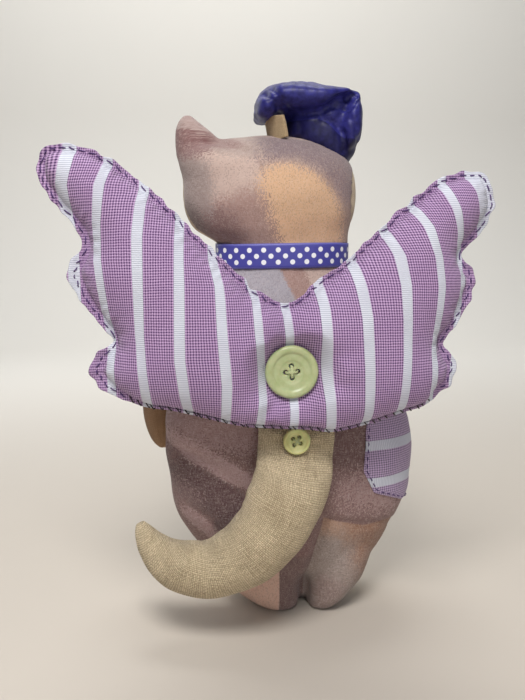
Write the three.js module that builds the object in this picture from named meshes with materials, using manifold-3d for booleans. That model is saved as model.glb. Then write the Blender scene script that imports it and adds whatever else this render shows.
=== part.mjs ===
// Sewn cloth cat doll with stuffed wings, a curled tail, a soft cap and a tied ribbon.
// Millimetres, +Z up. The doll's back, with wings and tail, looks to -Y and its face to +Y.
import * as THREE from 'three';
import { mergeVertices } from 'three/addons/utils/BufferGeometryUtils.js';
import Module from 'manifold-3d';

const wasm = await Module();
wasm.setup();

// ---- driving dimensions ----
const frameShift = [8, 1.5, -4];         // moves the bottom centre of the whole doll onto the origin
const cloth = 1.2;                     // body cloth with its seam allowance
const thinCloth = 0.9;                 // wing, tail and arm cloth
const gap = 0.35;                      // clearance between neighbouring pieces
const roundness = 2.2;                 // superellipse exponent of the body sections
const ribbonWidth = 12, ribbonZ = 178.4, ribbonThick = 0.7;
const wingButton = { x: 0, z: 133.3, y: -51.2, radius: 11.7, thick: 3.5, hole: 1.0, reach: 3.2 };
const tailButton = { x: 3.9, z: 99, y: -40.1, radius: 6.1, thick: 2.5, hole: 0.75, reach: 2 };
const armButton = { radius: 5, thick: 2.2, hole: 0.7, reach: 1.5 };
const shankRadius = 1.2, shankBore = 1.7, knotRadius = 3, knotPocket = 3.5;
const wingPlane = -51, wingDish = 9, wingBulgeBack = 12, wingBulgeFront = 16;
const armLean = 28 * Math.PI / 180;    // right arm rests this far forward of the left one

// body sections: [height, left edge, right edge, depth behind, depth in front]
const torso = [
  [15, 4, 19, 5, 6], [18, -6, 28, 13, 16], [24, -22, 41, 20, 25], [32, -38, 51.5, 24.5, 31],
  [48, -50, 60.5, 28, 37], [64, -55.5, 66.7, 30, 41], [84, -58, 69.2, 30, 42],
  [97, -58, 66.7, 29.8, 41], [106, -57.5, 64, 30, 39.5], [125, -52, 58, 31, 36],
  [145, -45, 50, 30, 32], [163, -38, 42, 26.5, 27.5], [173, -33, 35.5, 23.2, 23.5],
  [177.5, -31, 33.6, 22, 22], [191.5, -31, 33.6, 22, 22.5], [197, -39.5, 34.2, 25, 29],
  [205, -46.3, 36.9, 27.5, 34], [213, -47.5, 38, 28.5, 37], [221, -48, 37.7, 28.5, 36],
  [229, -50, 36, 27, 32], [235.5, -48, 30, 22, 26], [240, -34, 21, 15, 18],
  [242.8, -14, 10, 6, 8],
];
const leftLeg = [
  [4, -9, 8.5, 16, 22], [5.2, -12.5, 10, 19.5, 26], [8, -17, 10.8, 22, 29],
  [12, -22.5, 11, 24, 31], [20, -30, 11, 25, 31], [32, -37, 9, 24, 29], [42, -36, 6, 20, 25],
];
const rightLeg = [
  [4, 14.5, 26, 16, 22], [5.2, 13, 29.5, 19.5, 26], [8, 12.4, 33.5, 22, 29],
  [12, 12.2, 38, 24, 31], [20, 12.2, 44.5, 25, 31], [32, 14, 49, 24, 29],
  [42, 18, 49, 20, 25],
];
const ear = [
  [224, -49, -22, 16, 14], [232, -51.3, -24, 13, 12], [240, -51.5, -29, 10, 9.5],
  [247, -50.8, -36.5, 7, 7], [251, -48.8, -41, 4.5, 4.5], [252.6, -46.5, -43.2, 2.5, 2.5],
];
const cap = [
  [229, 26, 36, 8, 10], [233, 20, 38.5, 13, 15], [238, 10, 41, 16, 18],
  [243, 2.5, 42, 18, 20], [248, 0.5, 42.5, 19, 21], [253, -4, 42.5, 20, 22],
  [258, -10, 42.5, 20, 22], [262, -11, 42, 19, 21], [266, -7.5, 39, 15, 17],
  [268.6, -1, 30, 9, 10], [269.6, 4, 20, 4, 4],
];
// wing outline, anticlockwise seen from behind: left blade, lower edge, right blade
const wingEdge = [
  [-1.6, 164.1], [-16.4, 170.1], [-22.3, 175.8], [-36.9, 189.1], [-51.4, 203.9],
  [-65.7, 216.8], [-81.1, 227.7], [-92.3, 231], [-100.9, 231.4], [-106.1, 228.6],
  [-107.7, 224.5], [-107.7, 215.6], [-99.8, 204.6], [-92.7, 195.7], [-90.9, 188],
  [-95.6, 182.1], [-97.4, 175.7], [-94.5, 169.8], [-87.3, 159.6], [-80.4, 150.1],
  [-78.5, 147], [-85.4, 142.6], [-89, 135.9], [-87.7, 130.4], [-80.4, 124.2],
  [-65.7, 118.4], [-53.8, 116.5], [-41.6, 113.5], [-23.3, 108.9], [-8.5, 107.4],
  [7.3, 106.6], [19.9, 105.2], [36.7, 108.9], [51.4, 113.6], [61.2, 116.5], [67.9, 121.6],
  [74.1, 127.4], [75.6, 136.7], [69.2, 145.6], [75, 153], [81.8, 166.6], [83.6, 174],
  [80.6, 179.8], [76.7, 184.7], [85.1, 195.2], [89.7, 202.4], [91, 209.7], [88.1, 216.8],
  [85.7, 221.1], [78.7, 221.5], [70.3, 220.1], [63.6, 217.2], [51.5, 207.7], [40, 197.4],
  [25.5, 183.5], [11.2, 173.6],
];
// tail stations: [x, z, half width, half depth], its body side stays flat against the back
const tail = [
  [3.5, 107, 9, 2.6], [4, 104, 15.5, 3.8], [4.5, 99, 18.4, 4.4], [4.2, 92.6, 18.4, 4.8],
  [3.2, 86, 18.3, 9.4], [1.2, 79, 18, 13.2], [-3, 70, 17.5, 15], [-9, 59, 16.9, 15.6],
  [-20, 47.3, 15.6, 15.2], [-35, 39.8, 13.6, 13.4], [-48.5, 40.2, 12.3, 12.1],
  [-57.5, 43.8, 10.2, 10], [-63.8, 49.3, 7.6, 7.4], [-68, 55.2, 4.6, 4.5],
  [-69.8, 58.6, 2.2, 2.2],
];
const tailFace = -30.9;
// arm stations for the left arm: [x, y, z, radius]
const arm = [
  [-46.6, 12, 168.5, 3], [-46.9, 12, 165, 6.6], [-47.6, 12, 158, 8.6], [-55, 14, 138, 9.3],
  [-61, 17, 118, 9.3], [-63.5, 20, 103, 8.7], [-62.5, 22, 92, 7.5], [-61, 23, 84.5, 5],
  [-60.5, 23.2, 81, 2.2],
];
const shoulder = { x: -47.6, y: 12, z: 158 };
const rightArmShift = 6.2;             // the body's middle line at the shoulders, doubled

// ---- solids ----
const materials = {};
function material(name, color, rough) {
  materials[name] ??= new THREE.MeshStandardMaterial({ name, color, roughness: rough });
  return materials[name];
}
const printCloth = () => material('print_cotton', 0x8d7683, 0.9);
const linen = () => material('linen', 0xc8b894, 0.9);
const stripe = () => material('stripe_cotton', 0x8c6da8, 0.85);
const filling = () => material('stuffing', 0xeeeae2, 0.95);
const ribbonSatin = () => material('dot_ribbon', 0x3b3a96, 0.35);
const capSatin = () => material('cap_satin', 0x2a2566, 0.25);
const greenButton = () => material('green_button', 0xb8c48c, 0.3);
const limeButton = () => material('lime_button', 0xcdcd96, 0.3);
const thread = () => material('thread', 0xb9c79a, 0.8);
const darkThread = () => material('dark_thread', 0x3a2c35, 0.8);

function plain(points, faces) {
  const g = new THREE.BufferGeometry();
  g.setAttribute('position', new THREE.Float32BufferAttribute(points.flat(), 3));
  g.setIndex(faces);
  return oriented(g);
}

// welds a geometry and turns its faces outward
function oriented(source) {
  const g = source.clone();
  g.deleteAttribute('normal');
  g.deleteAttribute('uv');
  const w = mergeVertices(g, 1e-4);
  const p = w.attributes.position, kept = [];
  let volume = 0;
  const a = new THREE.Vector3(), b = new THREE.Vector3(), c = new THREE.Vector3();
  for (let i = 0; i < w.index.count; i += 3) {
    const t = [0, 1, 2].map((k) => w.index.getX(i + k));
    if (t[0] === t[1] || t[1] === t[2] || t[0] === t[2]) continue;
    a.fromBufferAttribute(p, t[0]);
    b.fromBufferAttribute(p, t[1]);
    c.fromBufferAttribute(p, t[2]);
    volume += a.dot(b.cross(c));
    kept.push(t);
  }
  w.setIndex(kept.flatMap((t) => (volume < 0 ? [t[0], t[2], t[1]] : t)));
  w.computeVertexNormals();
  return w;
}

function solid(geometry) {
  const g = oriented(geometry);
  return new wasm.Manifold(new wasm.Mesh({
    numProp: 3,
    vertProperties: new Float32Array(g.attributes.position.array),
    triVerts: new Uint32Array(g.index.array),
  }));
}

function surface(body) {
  const m = body.getMesh();
  const g = new THREE.BufferGeometry();
  g.setAttribute('position', new THREE.BufferAttribute(new Float32Array(m.vertProperties), 3));
  g.setIndex(new THREE.BufferAttribute(new Uint32Array(m.triVerts), 1));
  g.computeVertexNormals();
  return g;
}

// skins a row of rings; the ends are closed by flat fans, or joined when the row is a loop;
// the first `crossed` rows split their quads the other way, so two facing skins nest
function loft(rings, loop = false, crossed = 0) {
  const n = rings[0].length, points = rings.flat(), faces = [];
  const rows = loop ? rings.length : rings.length - 1;
  for (let i = 0; i < rows; i++) {
    const lower = i * n, upper = ((i + 1) % rings.length) * n;
    for (let j = 0; j < n; j++) {
      const k = (j + 1) % n;
      if (i < crossed) {
        faces.push(lower + j, lower + k, upper + j, lower + k, upper + k, upper + j);
      } else {
        faces.push(lower + j, lower + k, upper + k, lower + j, upper + k, upper + j);
      }
    }
  }
  if (!loop) {
    for (const [row, turn] of [[0, true], [rings.length - 1, false]]) {
      const ring = rings[row], middle = points.length;
      points.push([0, 1, 2].map((axis) => ring.reduce((s, p) => s + p[axis], 0) / n));
      for (let j = 0; j < n; j++) {
        const one = row * n + j, two = row * n + ((j + 1) % n);
        faces.push(middle, turn ? two : one, turn ? one : two);
      }
    }
  }
  return plain(points, faces);
}

// moves every point of a closed surface along its normal
function grown(geometry, distance) {
  const g = oriented(geometry), p = g.attributes.position, n = g.attributes.normal;
  for (let i = 0; i < p.count; i++) {
    p.setXYZ(i, p.getX(i) + distance * n.getX(i), p.getY(i) + distance * n.getY(i),
      p.getZ(i) + distance * n.getZ(i));
  }
  return g;
}

function sectionRing([z, left, right, back, front], count) {
  const ring = [], half = (right - left) / 2, middle = (left + right) / 2;
  for (let k = 0; k < count; k++) {
    const t = (2 * Math.PI * k) / count, c = Math.cos(t), s = Math.sin(t);
    const px = Math.sign(c) * Math.abs(c) ** (2 / roundness);
    const py = Math.sign(s) * Math.abs(s) ** (2 / roundness);
    ring.push([middle + half * px, py * (s < 0 ? back : front), z]);
  }
  return ring;
}

const sectionLoft = (sections, count = 32) => loft(sections.map((s) => sectionRing(s, count)));

// depth of the front of the torso at a place given by x and z
function frontDepth(x, z) {
  const i = torso.findIndex((s, k) => k > 0 && s[0] >= z);
  const [low, high] = [torso[i - 1], torso[i]], t = (z - low[0]) / (high[0] - low[0]);
  const [, left, right, , front] = low.map((v, k) => v + t * (high[k] - v));
  const u = Math.abs((x - (left + right) / 2) / ((right - left) / 2));
  return front * (1 - u ** roundness) ** (1 / roundness);
}

function box(x0, x1, y0, y1, z0, z1) {
  const g = new THREE.BoxGeometry(x1 - x0, y1 - y0, z1 - z0);
  return g.translate((x0 + x1) / 2, (y0 + y1) / 2, (z0 + z1) / 2);
}

// round rod between two points
function rod(from, to, radius, sides = 12) {
  const a = new THREE.Vector3(...from), b = new THREE.Vector3(...to);
  const g = new THREE.CylinderGeometry(radius, radius, a.distanceTo(b), sides);
  const turn = new THREE.Quaternion().setFromUnitVectors(
    new THREE.Vector3(0, 1, 0), b.clone().sub(a).normalize());
  return g.applyQuaternion(turn).translate(...a.add(b).multiplyScalar(0.5).toArray());
}

function ball(x, y, z, rx, ry = rx, rz = rx) {
  return new THREE.IcosahedronGeometry(1, 1).scale(rx, ry, rz).translate(x, y, z);
}

// tube along a row of [x, y, z, half width, half depth]; depth is measured along depthAxis
function tube(stations, depthAxis, sides = 16) {
  const at = stations.map((s) => new THREE.Vector3(s[0], s[1], s[2]));
  return loft(stations.map((s, i) => {
    const along = at[Math.min(i + 1, at.length - 1)].clone().sub(at[Math.max(i - 1, 0)]);
    const across = along.cross(depthAxis).normalize();
    const deep = depthAxis.clone();
    return Array.from({ length: sides }, (_, k) => {
      const t = (2 * Math.PI * k) / sides;
      const p = at[i].clone().addScaledVector(across, s[3] * Math.cos(t));
      return p.addScaledVector(deep, s[4] * Math.sin(t)).toArray();
    });
  }));
}

const group = new THREE.Group();
function piece(name, geometry, look) {
  const mesh = new THREE.Mesh(geometry, look);
  mesh.name = name;
  mesh.position.set(...frameShift);
  group.add(mesh);
}

// ---- body: two panels of printed and plain cloth over the stuffing ----
const bodyParts = [sectionLoft(torso, 26), sectionLoft(leftLeg, 16), sectionLoft(rightLeg, 16),
  sectionLoft(ear, 14)];
const bodyGrown = (distance) =>
  wasm.Manifold.union(bodyParts.map((g) => solid(distance ? grown(g, distance) : g)));
const bodyOuter = bodyGrown(0);
const shanks = [
  { from: [wingButton.x, -46, wingButton.z], knot: [wingButton.x, -19, wingButton.z] },
  { from: [tailButton.x, -46, tailButton.z], knot: [tailButton.x, -17, tailButton.z] },
  { from: [-60, shoulder.y, shoulder.z], knot: [-24, shoulder.y, shoulder.z] },
  { from: [60, shoulder.y, shoulder.z], knot: [24 + rightArmShift, shoulder.y, shoulder.z] },
];
const bores = wasm.Manifold.union(shanks.flatMap(({ from, knot }) => [
  solid(rod(from, knot, shankBore)), solid(ball(...knot, knotPocket))]));
const bodyShell = bodyOuter.subtract(bodyGrown(-cloth)).subtract(bores);
const backHalf = solid(box(-80, 90, -60, -gap / 2, -5, 270));
const frontHalf = solid(box(-80, 90, gap / 2, 60, -5, 270));
piece('body_back_panel', surface(bodyShell.intersect(backHalf)), printCloth());
piece('body_front_panel', surface(bodyShell.intersect(frontHalf)), linen());
piece('body_fill', surface(bodyGrown(-cloth - gap).subtract(bores)), filling());

// ---- face ----
const clearOfBody = bodyGrown(gap);
const onBody = (geometry) => surface(solid(geometry).subtract(clearOfBody));
for (const [name, x] of [['eye_left', -18], ['eye_right', 7]]) {
  piece(name, onBody(ball(x, frontDepth(x, 218), 218, 2.9, 2.4, 3.3)), darkThread());
}
piece('nose', onBody(ball(-5.5, frontDepth(-5.5, 211), 211, 4.4, 2.4, 3)), darkThread());
const smile = [-13.5, -11.5, -9, -5.5, -2, 0.5, 2.5].map((x) => {
  const z = 202.6 + 0.045 * (x + 5.5) ** 2;
  return [x, frontDepth(x, z) + 1.6, z, 0.6, 0.6];
});
piece('mouth_stitch', tube(smile, new THREE.Vector3(0, 1, 0), 8), darkThread());

// ---- wings: one stuffed pillow, stitched round its edge and pinched by the button ----
const steps = [0, 0.075, 0.16, 0.32, 0.5, 0.68, 0.85, 0.955, 1];
const dimple = (r, width) => Math.exp(-((r / width) ** 4));
function wingRing(t, height) {
  return wingEdge.map(([x, z]) => {
    const dx = x - wingButton.x, dz = z - wingButton.z, reach = Math.hypot(dx, dz);
    const r = shankBore + (reach - shankBore) * t;
    const swell = (1 - Math.min(1, t / 0.955) ** 2.4) ** 0.62 * (1 - 0.7 * dimple(r, 16));
    const middle = wingPlane + wingDish * dimple(r, 22);
    return [wingButton.x + (dx * r) / reach, middle + height(swell), wingButton.z + (dz * r) / reach];
  });
}
function wingLayer(rows, back, front) {
  const behind = rows.map((t) => wingRing(t, back)).reverse();
  return loft([...behind, ...rows.map((t) => wingRing(t, front))], true, rows.length - 1);
}
const seam = gap / 2, skin = thinCloth;
piece('wing_back_panel', wingLayer(steps,
  (s) => -(seam + skin + wingBulgeBack * s), (s) => -(seam + wingBulgeBack * s)), stripe());
piece('wing_front_panel', wingLayer(steps,
  (s) => seam + wingBulgeFront * s, (s) => seam + skin + wingBulgeFront * s), stripe());
piece('wing_fill', wingLayer(steps.slice(0, 7),
  (s) => seam + gap - wingBulgeBack * s, (s) => wingBulgeFront * s - seam - gap), filling());

// ---- buttons and the threads that hold them ----
// a round button with a raised rim, its back at the origin and its face toward -Y
function button({ radius: r, thick, hole, reach }, count, turn) {
  const profile = [[r * 0.86, 0], [r * 0.97, -thick * 0.2], [r, -thick * 0.55],
    [r * 0.94, -thick * 0.92], [r * 0.85, -thick], [r * 0.76, -thick * 0.86],
    [r * 0.62, -thick * 0.66]];
  const sides = r > 10 ? 28 : 20;
  const rings = profile.map(([pr, py]) => Array.from({ length: sides }, (_, k) => {
    const t = (2 * Math.PI * k) / sides;
    return [pr * Math.cos(t), py, pr * Math.sin(t)];
  }));
  let body = solid(loft(rings));
  for (const [x, z] of holes(reach, count, turn)) {
    body = body.subtract(solid(rod([x, 1, z], [x, -thick - 1, z], hole, 10)));
  }
  return body;
}
function holes(reach, count, turn) {
  return Array.from({ length: count }, (_, k) => {
    const t = turn + (2 * Math.PI * k) / count;
    return [reach * Math.cos(t), reach * Math.sin(t)];
  });
}
// stitches over the button face, a pad behind it and a shank that ends in a knot
function stitching({ thick, hole, reach }, count, turn, pairs, shank) {
  const face = -thick * 0.66 - 0.6, r = hole * 0.62, at = holes(reach, count, turn);
  const parts = at.map(([x, z]) => rod([x, face, z], [x, 0.55, z], r, 8));
  for (const [i, j] of pairs) {
    parts.push(rod([at[i][0], face, at[i][1]], [at[j][0], face, at[j][1]], r, 8));
  }
  parts.push(rod([0, 0.3, 0], [0, 0.75, 0], reach + r, 20), rod([0, 0.5, 0], [0, shank, 0],
    shankRadius), ball(0, shank, 0, knotRadius));
  return wasm.Manifold.union(parts.map(solid));
}
function placed(body, matrix) {
  return surface(body).applyMatrix4(matrix);
}
const at = (x, y, z) => new THREE.Matrix4().makeTranslation(x, y, z);
const cross = [[0, 2], [1, 3]], bars = [[0, 1], [2, 3]];
const squareTurn = Math.PI / 4 - 0.26;
piece('wing_button', placed(button(wingButton, 4, 0),
  at(wingButton.x, wingButton.y, wingButton.z)), greenButton());
piece('wing_button_thread', placed(stitching(wingButton, 4, 0, cross, -19 - wingButton.y),
  at(wingButton.x, wingButton.y, wingButton.z)), thread());
piece('tail_button', placed(button(tailButton, 4, squareTurn),
  at(tailButton.x, tailButton.y - 0.8, tailButton.z)), limeButton());
piece('tail_button_thread', placed(stitching(tailButton, 4, squareTurn, bars,
  -17 - tailButton.y + 0.8), at(tailButton.x, tailButton.y - 0.8, tailButton.z)), thread());

// ---- tail: a linen tube, flattened where its button sews it to the back ----
const tailTube = tube(tail.map(([x, z, w, d]) => [x, tailFace - d, z, w, d]),
  new THREE.Vector3(0, 1, 0), 18);
const tailBore = solid(rod([tailButton.x, -60, tailButton.z], [tailButton.x, -20, tailButton.z],
  shankBore));
const hollow = (tubeShape, inset, bore) => solid(tubeShape).subtract(
  solid(grown(tubeShape, -inset))).subtract(bore);
piece('tail_skin', surface(hollow(tailTube, thinCloth, tailBore)), linen());
piece('tail_fill', surface(solid(grown(tailTube, -thinCloth - gap)).subtract(tailBore)), filling());

// ---- arms: button-jointed at the shoulders ----
const armTube = tube(arm.map(([x, y, z, r]) => [x, y, z, r, r]), new THREE.Vector3(0, 1, 0), 14);
const armBore = solid(rod([-70, shoulder.y, shoulder.z], [-30, shoulder.y, shoulder.z], shankBore));
const mirrorArm = new THREE.Matrix4().makeTranslation(rightArmShift, 0, 0)
  .multiply(new THREE.Matrix4().makeScale(-1, 1, 1));
const leanArm = at(0, shoulder.y, shoulder.z)
  .multiply(new THREE.Matrix4().makeRotationX(armLean)).multiply(at(0, -shoulder.y, -shoulder.z));
const outward = new THREE.Matrix4().makeRotationZ(-Math.PI / 2);
const buttonSeat = at(shoulder.x - 11.8, shoulder.y, shoulder.z).multiply(outward);
const armPieces = [
  ['skin', surface(hollow(armTube, thinCloth, armBore)), linen()],
  ['fill', surface(solid(grown(armTube, -thinCloth - gap)).subtract(armBore)), filling()],
  ['button', placed(button(armButton, 2, Math.PI / 2), buttonSeat), limeButton()],
  ['button_thread', placed(stitching(armButton, 2, Math.PI / 2, [[0, 1]], 35.4), buttonSeat),
    thread()],
];
for (const [part, geometry, look] of armPieces) {
  piece(`arm_left_${part}`, oriented(geometry), look);
  const right = geometry.clone().applyMatrix4(leanArm.clone().multiply(mirrorArm));
  piece(`arm_right_${part}`, oriented(right), look);
}

// ---- hip patch: a five-cornered scrap of wing cloth lying on the right hip ----
const patchCorners = [[43.5, 108], [42.4, 86.6], [41.8, 79], [47, 67.6], [61.4, 60.6],
  [76, 59], [76, 108]];
const patchShape = new THREE.Shape(patchCorners.map(([x, z]) => new THREE.Vector2(x, z)));
const patchPrism = new THREE.ExtrudeGeometry(patchShape, { depth: 66, bevelEnabled: false });
patchPrism.rotateX(Math.PI / 2).translate(0, 6, 0);
piece('hip_patch', surface(bodyGrown(gap + 0.8).subtract(clearOfBody)
  .intersect(solid(patchPrism))), stripe());

// ---- cap: a puffed crown over a band, with a turned-up linen peak on its left ----
const capSolid = solid(sectionLoft(cap, 24)).subtract(clearOfBody);
const capCut = (above) => {
  const half = box(-60, 60, -50, 50, above ? gap / 2 : -60, above ? 60 : -gap / 2);
  return solid(half.rotateY(0.15).translate(22, 0, 243.5));
};
piece('hat_crown', surface(capSolid.intersect(capCut(true))), capSatin());
piece('hat_band', surface(capSolid.intersect(capCut(false))), capSatin());
const peakRows = [[239, -1.6, 0], [243, -2.6, 0], [247.5, -4.2, 0.2], [251, -6, 0.8]];
const peakRing = ([z, x, rise]) => {
  const arc = [-0.62, -0.42, -0.2, 0, 0.2, 0.42, 0.62], inner = 22, outer = 24.2;
  const side = (r) => arc.map((t) => [x + inner - r * Math.cos(t), r * Math.sin(t), z - rise * t * t * 4]);
  return [...side(outer), ...side(inner).reverse()];
};
piece('hat_peak', surface(solid(loft(peakRows.map(peakRing))).subtract(clearOfBody)
  .subtract(solid(grown(sectionLoft(cap, 24), gap)))), linen());

// ---- ribbon: a flat collar, and the bow it is tied in at the front ----
const neck = torso[13];
const collarRing = (z, offset) => sectionRing([z, neck[1] - offset, neck[2] + offset,
  neck[3] + offset, neck[4] + 0.5 + offset], 32);
const ribbonTop = ribbonZ + ribbonWidth;
piece('ribbon_collar', loft([collarRing(ribbonZ, gap), collarRing(ribbonZ, gap + ribbonThick),
  collarRing(ribbonTop, gap + ribbonThick), collarRing(ribbonTop, gap)], true), ribbonSatin());
const knotAt = { x: 1.3, y: 27.6, z: 184.4 };
piece('bow_knot', ball(knotAt.x, knotAt.y, knotAt.z, 4.8, 3.4, 6), ribbonSatin());
function bowLoop(side) {
  const outline = [[5.3, -0.9], [12, -3.2], [22, -3.3], [28.5, -1.8], [30.3, 0.6], [28.5, 3],
    [22, 4.6], [12, 3.4], [5.3, 0.9]];
  const inner = [[7, -0.2], [12.6, -2.2], [21.8, -2.3], [27.7, -1], [29.2, 0.6], [27.7, 2.2],
    [21.8, 3.6], [12.6, 2.4], [7, 0.2]];
  const low = knotAt.z - (ribbonWidth - 1) / 2, high = knotAt.z + (ribbonWidth - 1) / 2;
  const ring = (row, z) => row.map(([x, y]) => [knotAt.x + side * x, knotAt.y + y, z]);
  return loft([ring(outline, low), ring(outline, high), ring(inner, high), ring(inner, low)], true);
}
function bowTail(side) {
  const rows = [[3.4, 177.4], [6, 170], [9.5, 161], [13, 152], [16.5, 143], [19, 136]];
  return loft(rows.map(([x, z], i) => {
    const w = i === 0 ? 2.6 : 5.2, px = side * x;
    const depth = (dx) => frontDepth(knotAt.x + px + dx, z) + 1.2;
    const lift = side > 0 ? 0 : 0.2;
    return [[-w, 0], [w, 0], [w, 0.7], [-w, 0.7]].map(([dx, dy]) =>
      [knotAt.x + px + dx, depth(dx) + dy + lift, z + side * dx * 0.3]);
  }));
}
for (const [name, side] of [['left', -1], ['right', 1]]) {
  piece(`bow_loop_${name}`, bowLoop(side), ribbonSatin());
  piece(`bow_tail_${name}`, bowTail(side), ribbonSatin());
}

export default group;
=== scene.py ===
import math

import bmesh
import bpy
import numpy as np
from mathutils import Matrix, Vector, geometry, noise
from mathutils.bvhtree import BVHTree


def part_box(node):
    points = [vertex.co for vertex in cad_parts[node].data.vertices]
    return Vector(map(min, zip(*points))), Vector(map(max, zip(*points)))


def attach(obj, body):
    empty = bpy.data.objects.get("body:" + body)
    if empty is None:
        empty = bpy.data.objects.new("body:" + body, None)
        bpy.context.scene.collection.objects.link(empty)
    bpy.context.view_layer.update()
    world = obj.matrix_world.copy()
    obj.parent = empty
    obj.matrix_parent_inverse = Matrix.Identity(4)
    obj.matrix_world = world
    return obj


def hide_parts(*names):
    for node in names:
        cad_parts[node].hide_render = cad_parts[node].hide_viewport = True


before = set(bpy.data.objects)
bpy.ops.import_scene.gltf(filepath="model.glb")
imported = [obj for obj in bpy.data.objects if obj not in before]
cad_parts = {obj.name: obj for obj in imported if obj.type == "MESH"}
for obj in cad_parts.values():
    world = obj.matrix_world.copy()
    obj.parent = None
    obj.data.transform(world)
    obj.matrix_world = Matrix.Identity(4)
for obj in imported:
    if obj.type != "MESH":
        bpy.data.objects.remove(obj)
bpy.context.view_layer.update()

# every length below is in millimetres, from the floor under the middle of the big button
buttonLow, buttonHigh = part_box("wing_button")
home = np.array([(buttonLow.x + buttonHigh.x) / 2, buttonHigh.y + 0.0512,
                 (buttonLow.z + buttonHigh.z) / 2 - 0.1333])
homeMm = home * 1000


def inFrame(points):
    return np.asarray(points, float) / 1000 + home


view = {"place": (-42.8, -392.7, 187), "turn": -5, "tilt": 7.3, "lens": 40}
studio = {"wall": (0.84, 0.82, 0.78), "floor": (0.6, 0.55, 0.49), "sky": 0.15, "wallAway": 1500,
          "wallBend": 500, "wallHigh": 2600}


def setView():
    cam = bpy.data.cameras.new("camera")
    cam.lens, cam.sensor_width = view["lens"], 36
    cam.clip_start, cam.clip_end = 0.01, 20
    holder = bpy.data.objects.new("camera", cam)
    bpy.context.scene.collection.objects.link(holder)
    turn, tilt = math.radians(view["turn"]), math.radians(view["tilt"])
    ahead = Vector((-math.sin(turn) * math.cos(tilt), math.cos(turn) * math.cos(tilt), -math.sin(tilt)))
    holder.location = inFrame(view["place"])
    holder.rotation_mode = "QUATERNION"
    holder.rotation_quaternion = ahead.to_track_quat("-Z", "Y")
    bpy.context.scene.camera = holder


def addLamp(name, place, aim, size, power, colour=(1, 1, 1)):
    lamp = bpy.data.lights.new(name, "AREA")
    lamp.shape, lamp.size, lamp.energy, lamp.color = "DISK", size, power, colour
    holder = bpy.data.objects.new(name, lamp)
    bpy.context.scene.collection.objects.link(holder)
    holder.location = inFrame(place)
    holder.rotation_mode = "QUATERNION"
    holder.rotation_quaternion = (Vector(aim) - Vector(place)).to_track_quat("-Z", "Y")


def setStudio():
    addLamp("lampAbove", (-110, -520, 730), (0, -20, 130), 0.32, 5.2, (1, 0.97, 0.93))
    addLamp("lampBehindCamera", (120, -880, 380), (0, 0, 150), 0.7, 1.4, (1, 0.98, 0.96))
    addLamp("lampFar", (-450, 600, 560), (0, 0, 120), 0.6, 1.0, (0.96, 0.98, 1))
    addLamp("lampWall", (0, 700, 1700), (0, 1500, 500), 1.0, 18, (1, 1, 0.98))
    world = bpy.data.worlds.new("studioWorld")
    world.use_nodes = True
    world.node_tree.nodes["Background"].inputs[0].default_value = (0.93, 0.95, 1, 1)
    world.node_tree.nodes["Background"].inputs[1].default_value = studio["sky"]
    bpy.context.scene.world = world
    bpy.context.scene.view_settings.view_transform = "Standard"


setView()
setStudio()
print("camera and lights set")


def sRgb(r, g, b):
    return tuple((c / 255 / 12.92) if c < 10.3 else ((c / 255 + 0.055) / 1.055) ** 2.4 for c in (r, g, b))


class Tone:
    # one socket of a finish, so that maths on it reads as maths
    def __init__(self, dye, socket):
        self.dye, self.socket = dye, socket

    def maths(self, operation, *others):
        values = dict(enumerate([self, *others]))
        return self.dye.make("ShaderNodeMath", {"operation": operation}, values)

    def __add__(self, other):
        return self.maths("ADD", other)

    def __mul__(self, other):
        return self.maths("MULTIPLY", other)

    def __sub__(self, other):
        return self.maths("SUBTRACT", other)

    def __truediv__(self, other):
        return self.maths("DIVIDE", other)

    def __rsub__(self, other):
        return self.dye.make("ShaderNodeMath", {"operation": "SUBTRACT"}, {0: other, 1: self})

    __radd__, __rmul__ = __add__, __mul__

    def above(self, limit):
        return self.maths("GREATER_THAN", limit)

    def rise(self, low, high):  # 0 at low, 1 at high, smooth between
        return self.dye.make("ShaderNodeMapRange", {"interpolation_type": "SMOOTHSTEP"},
                             {"Value": self, "From Min": low, "From Max": high})


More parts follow.
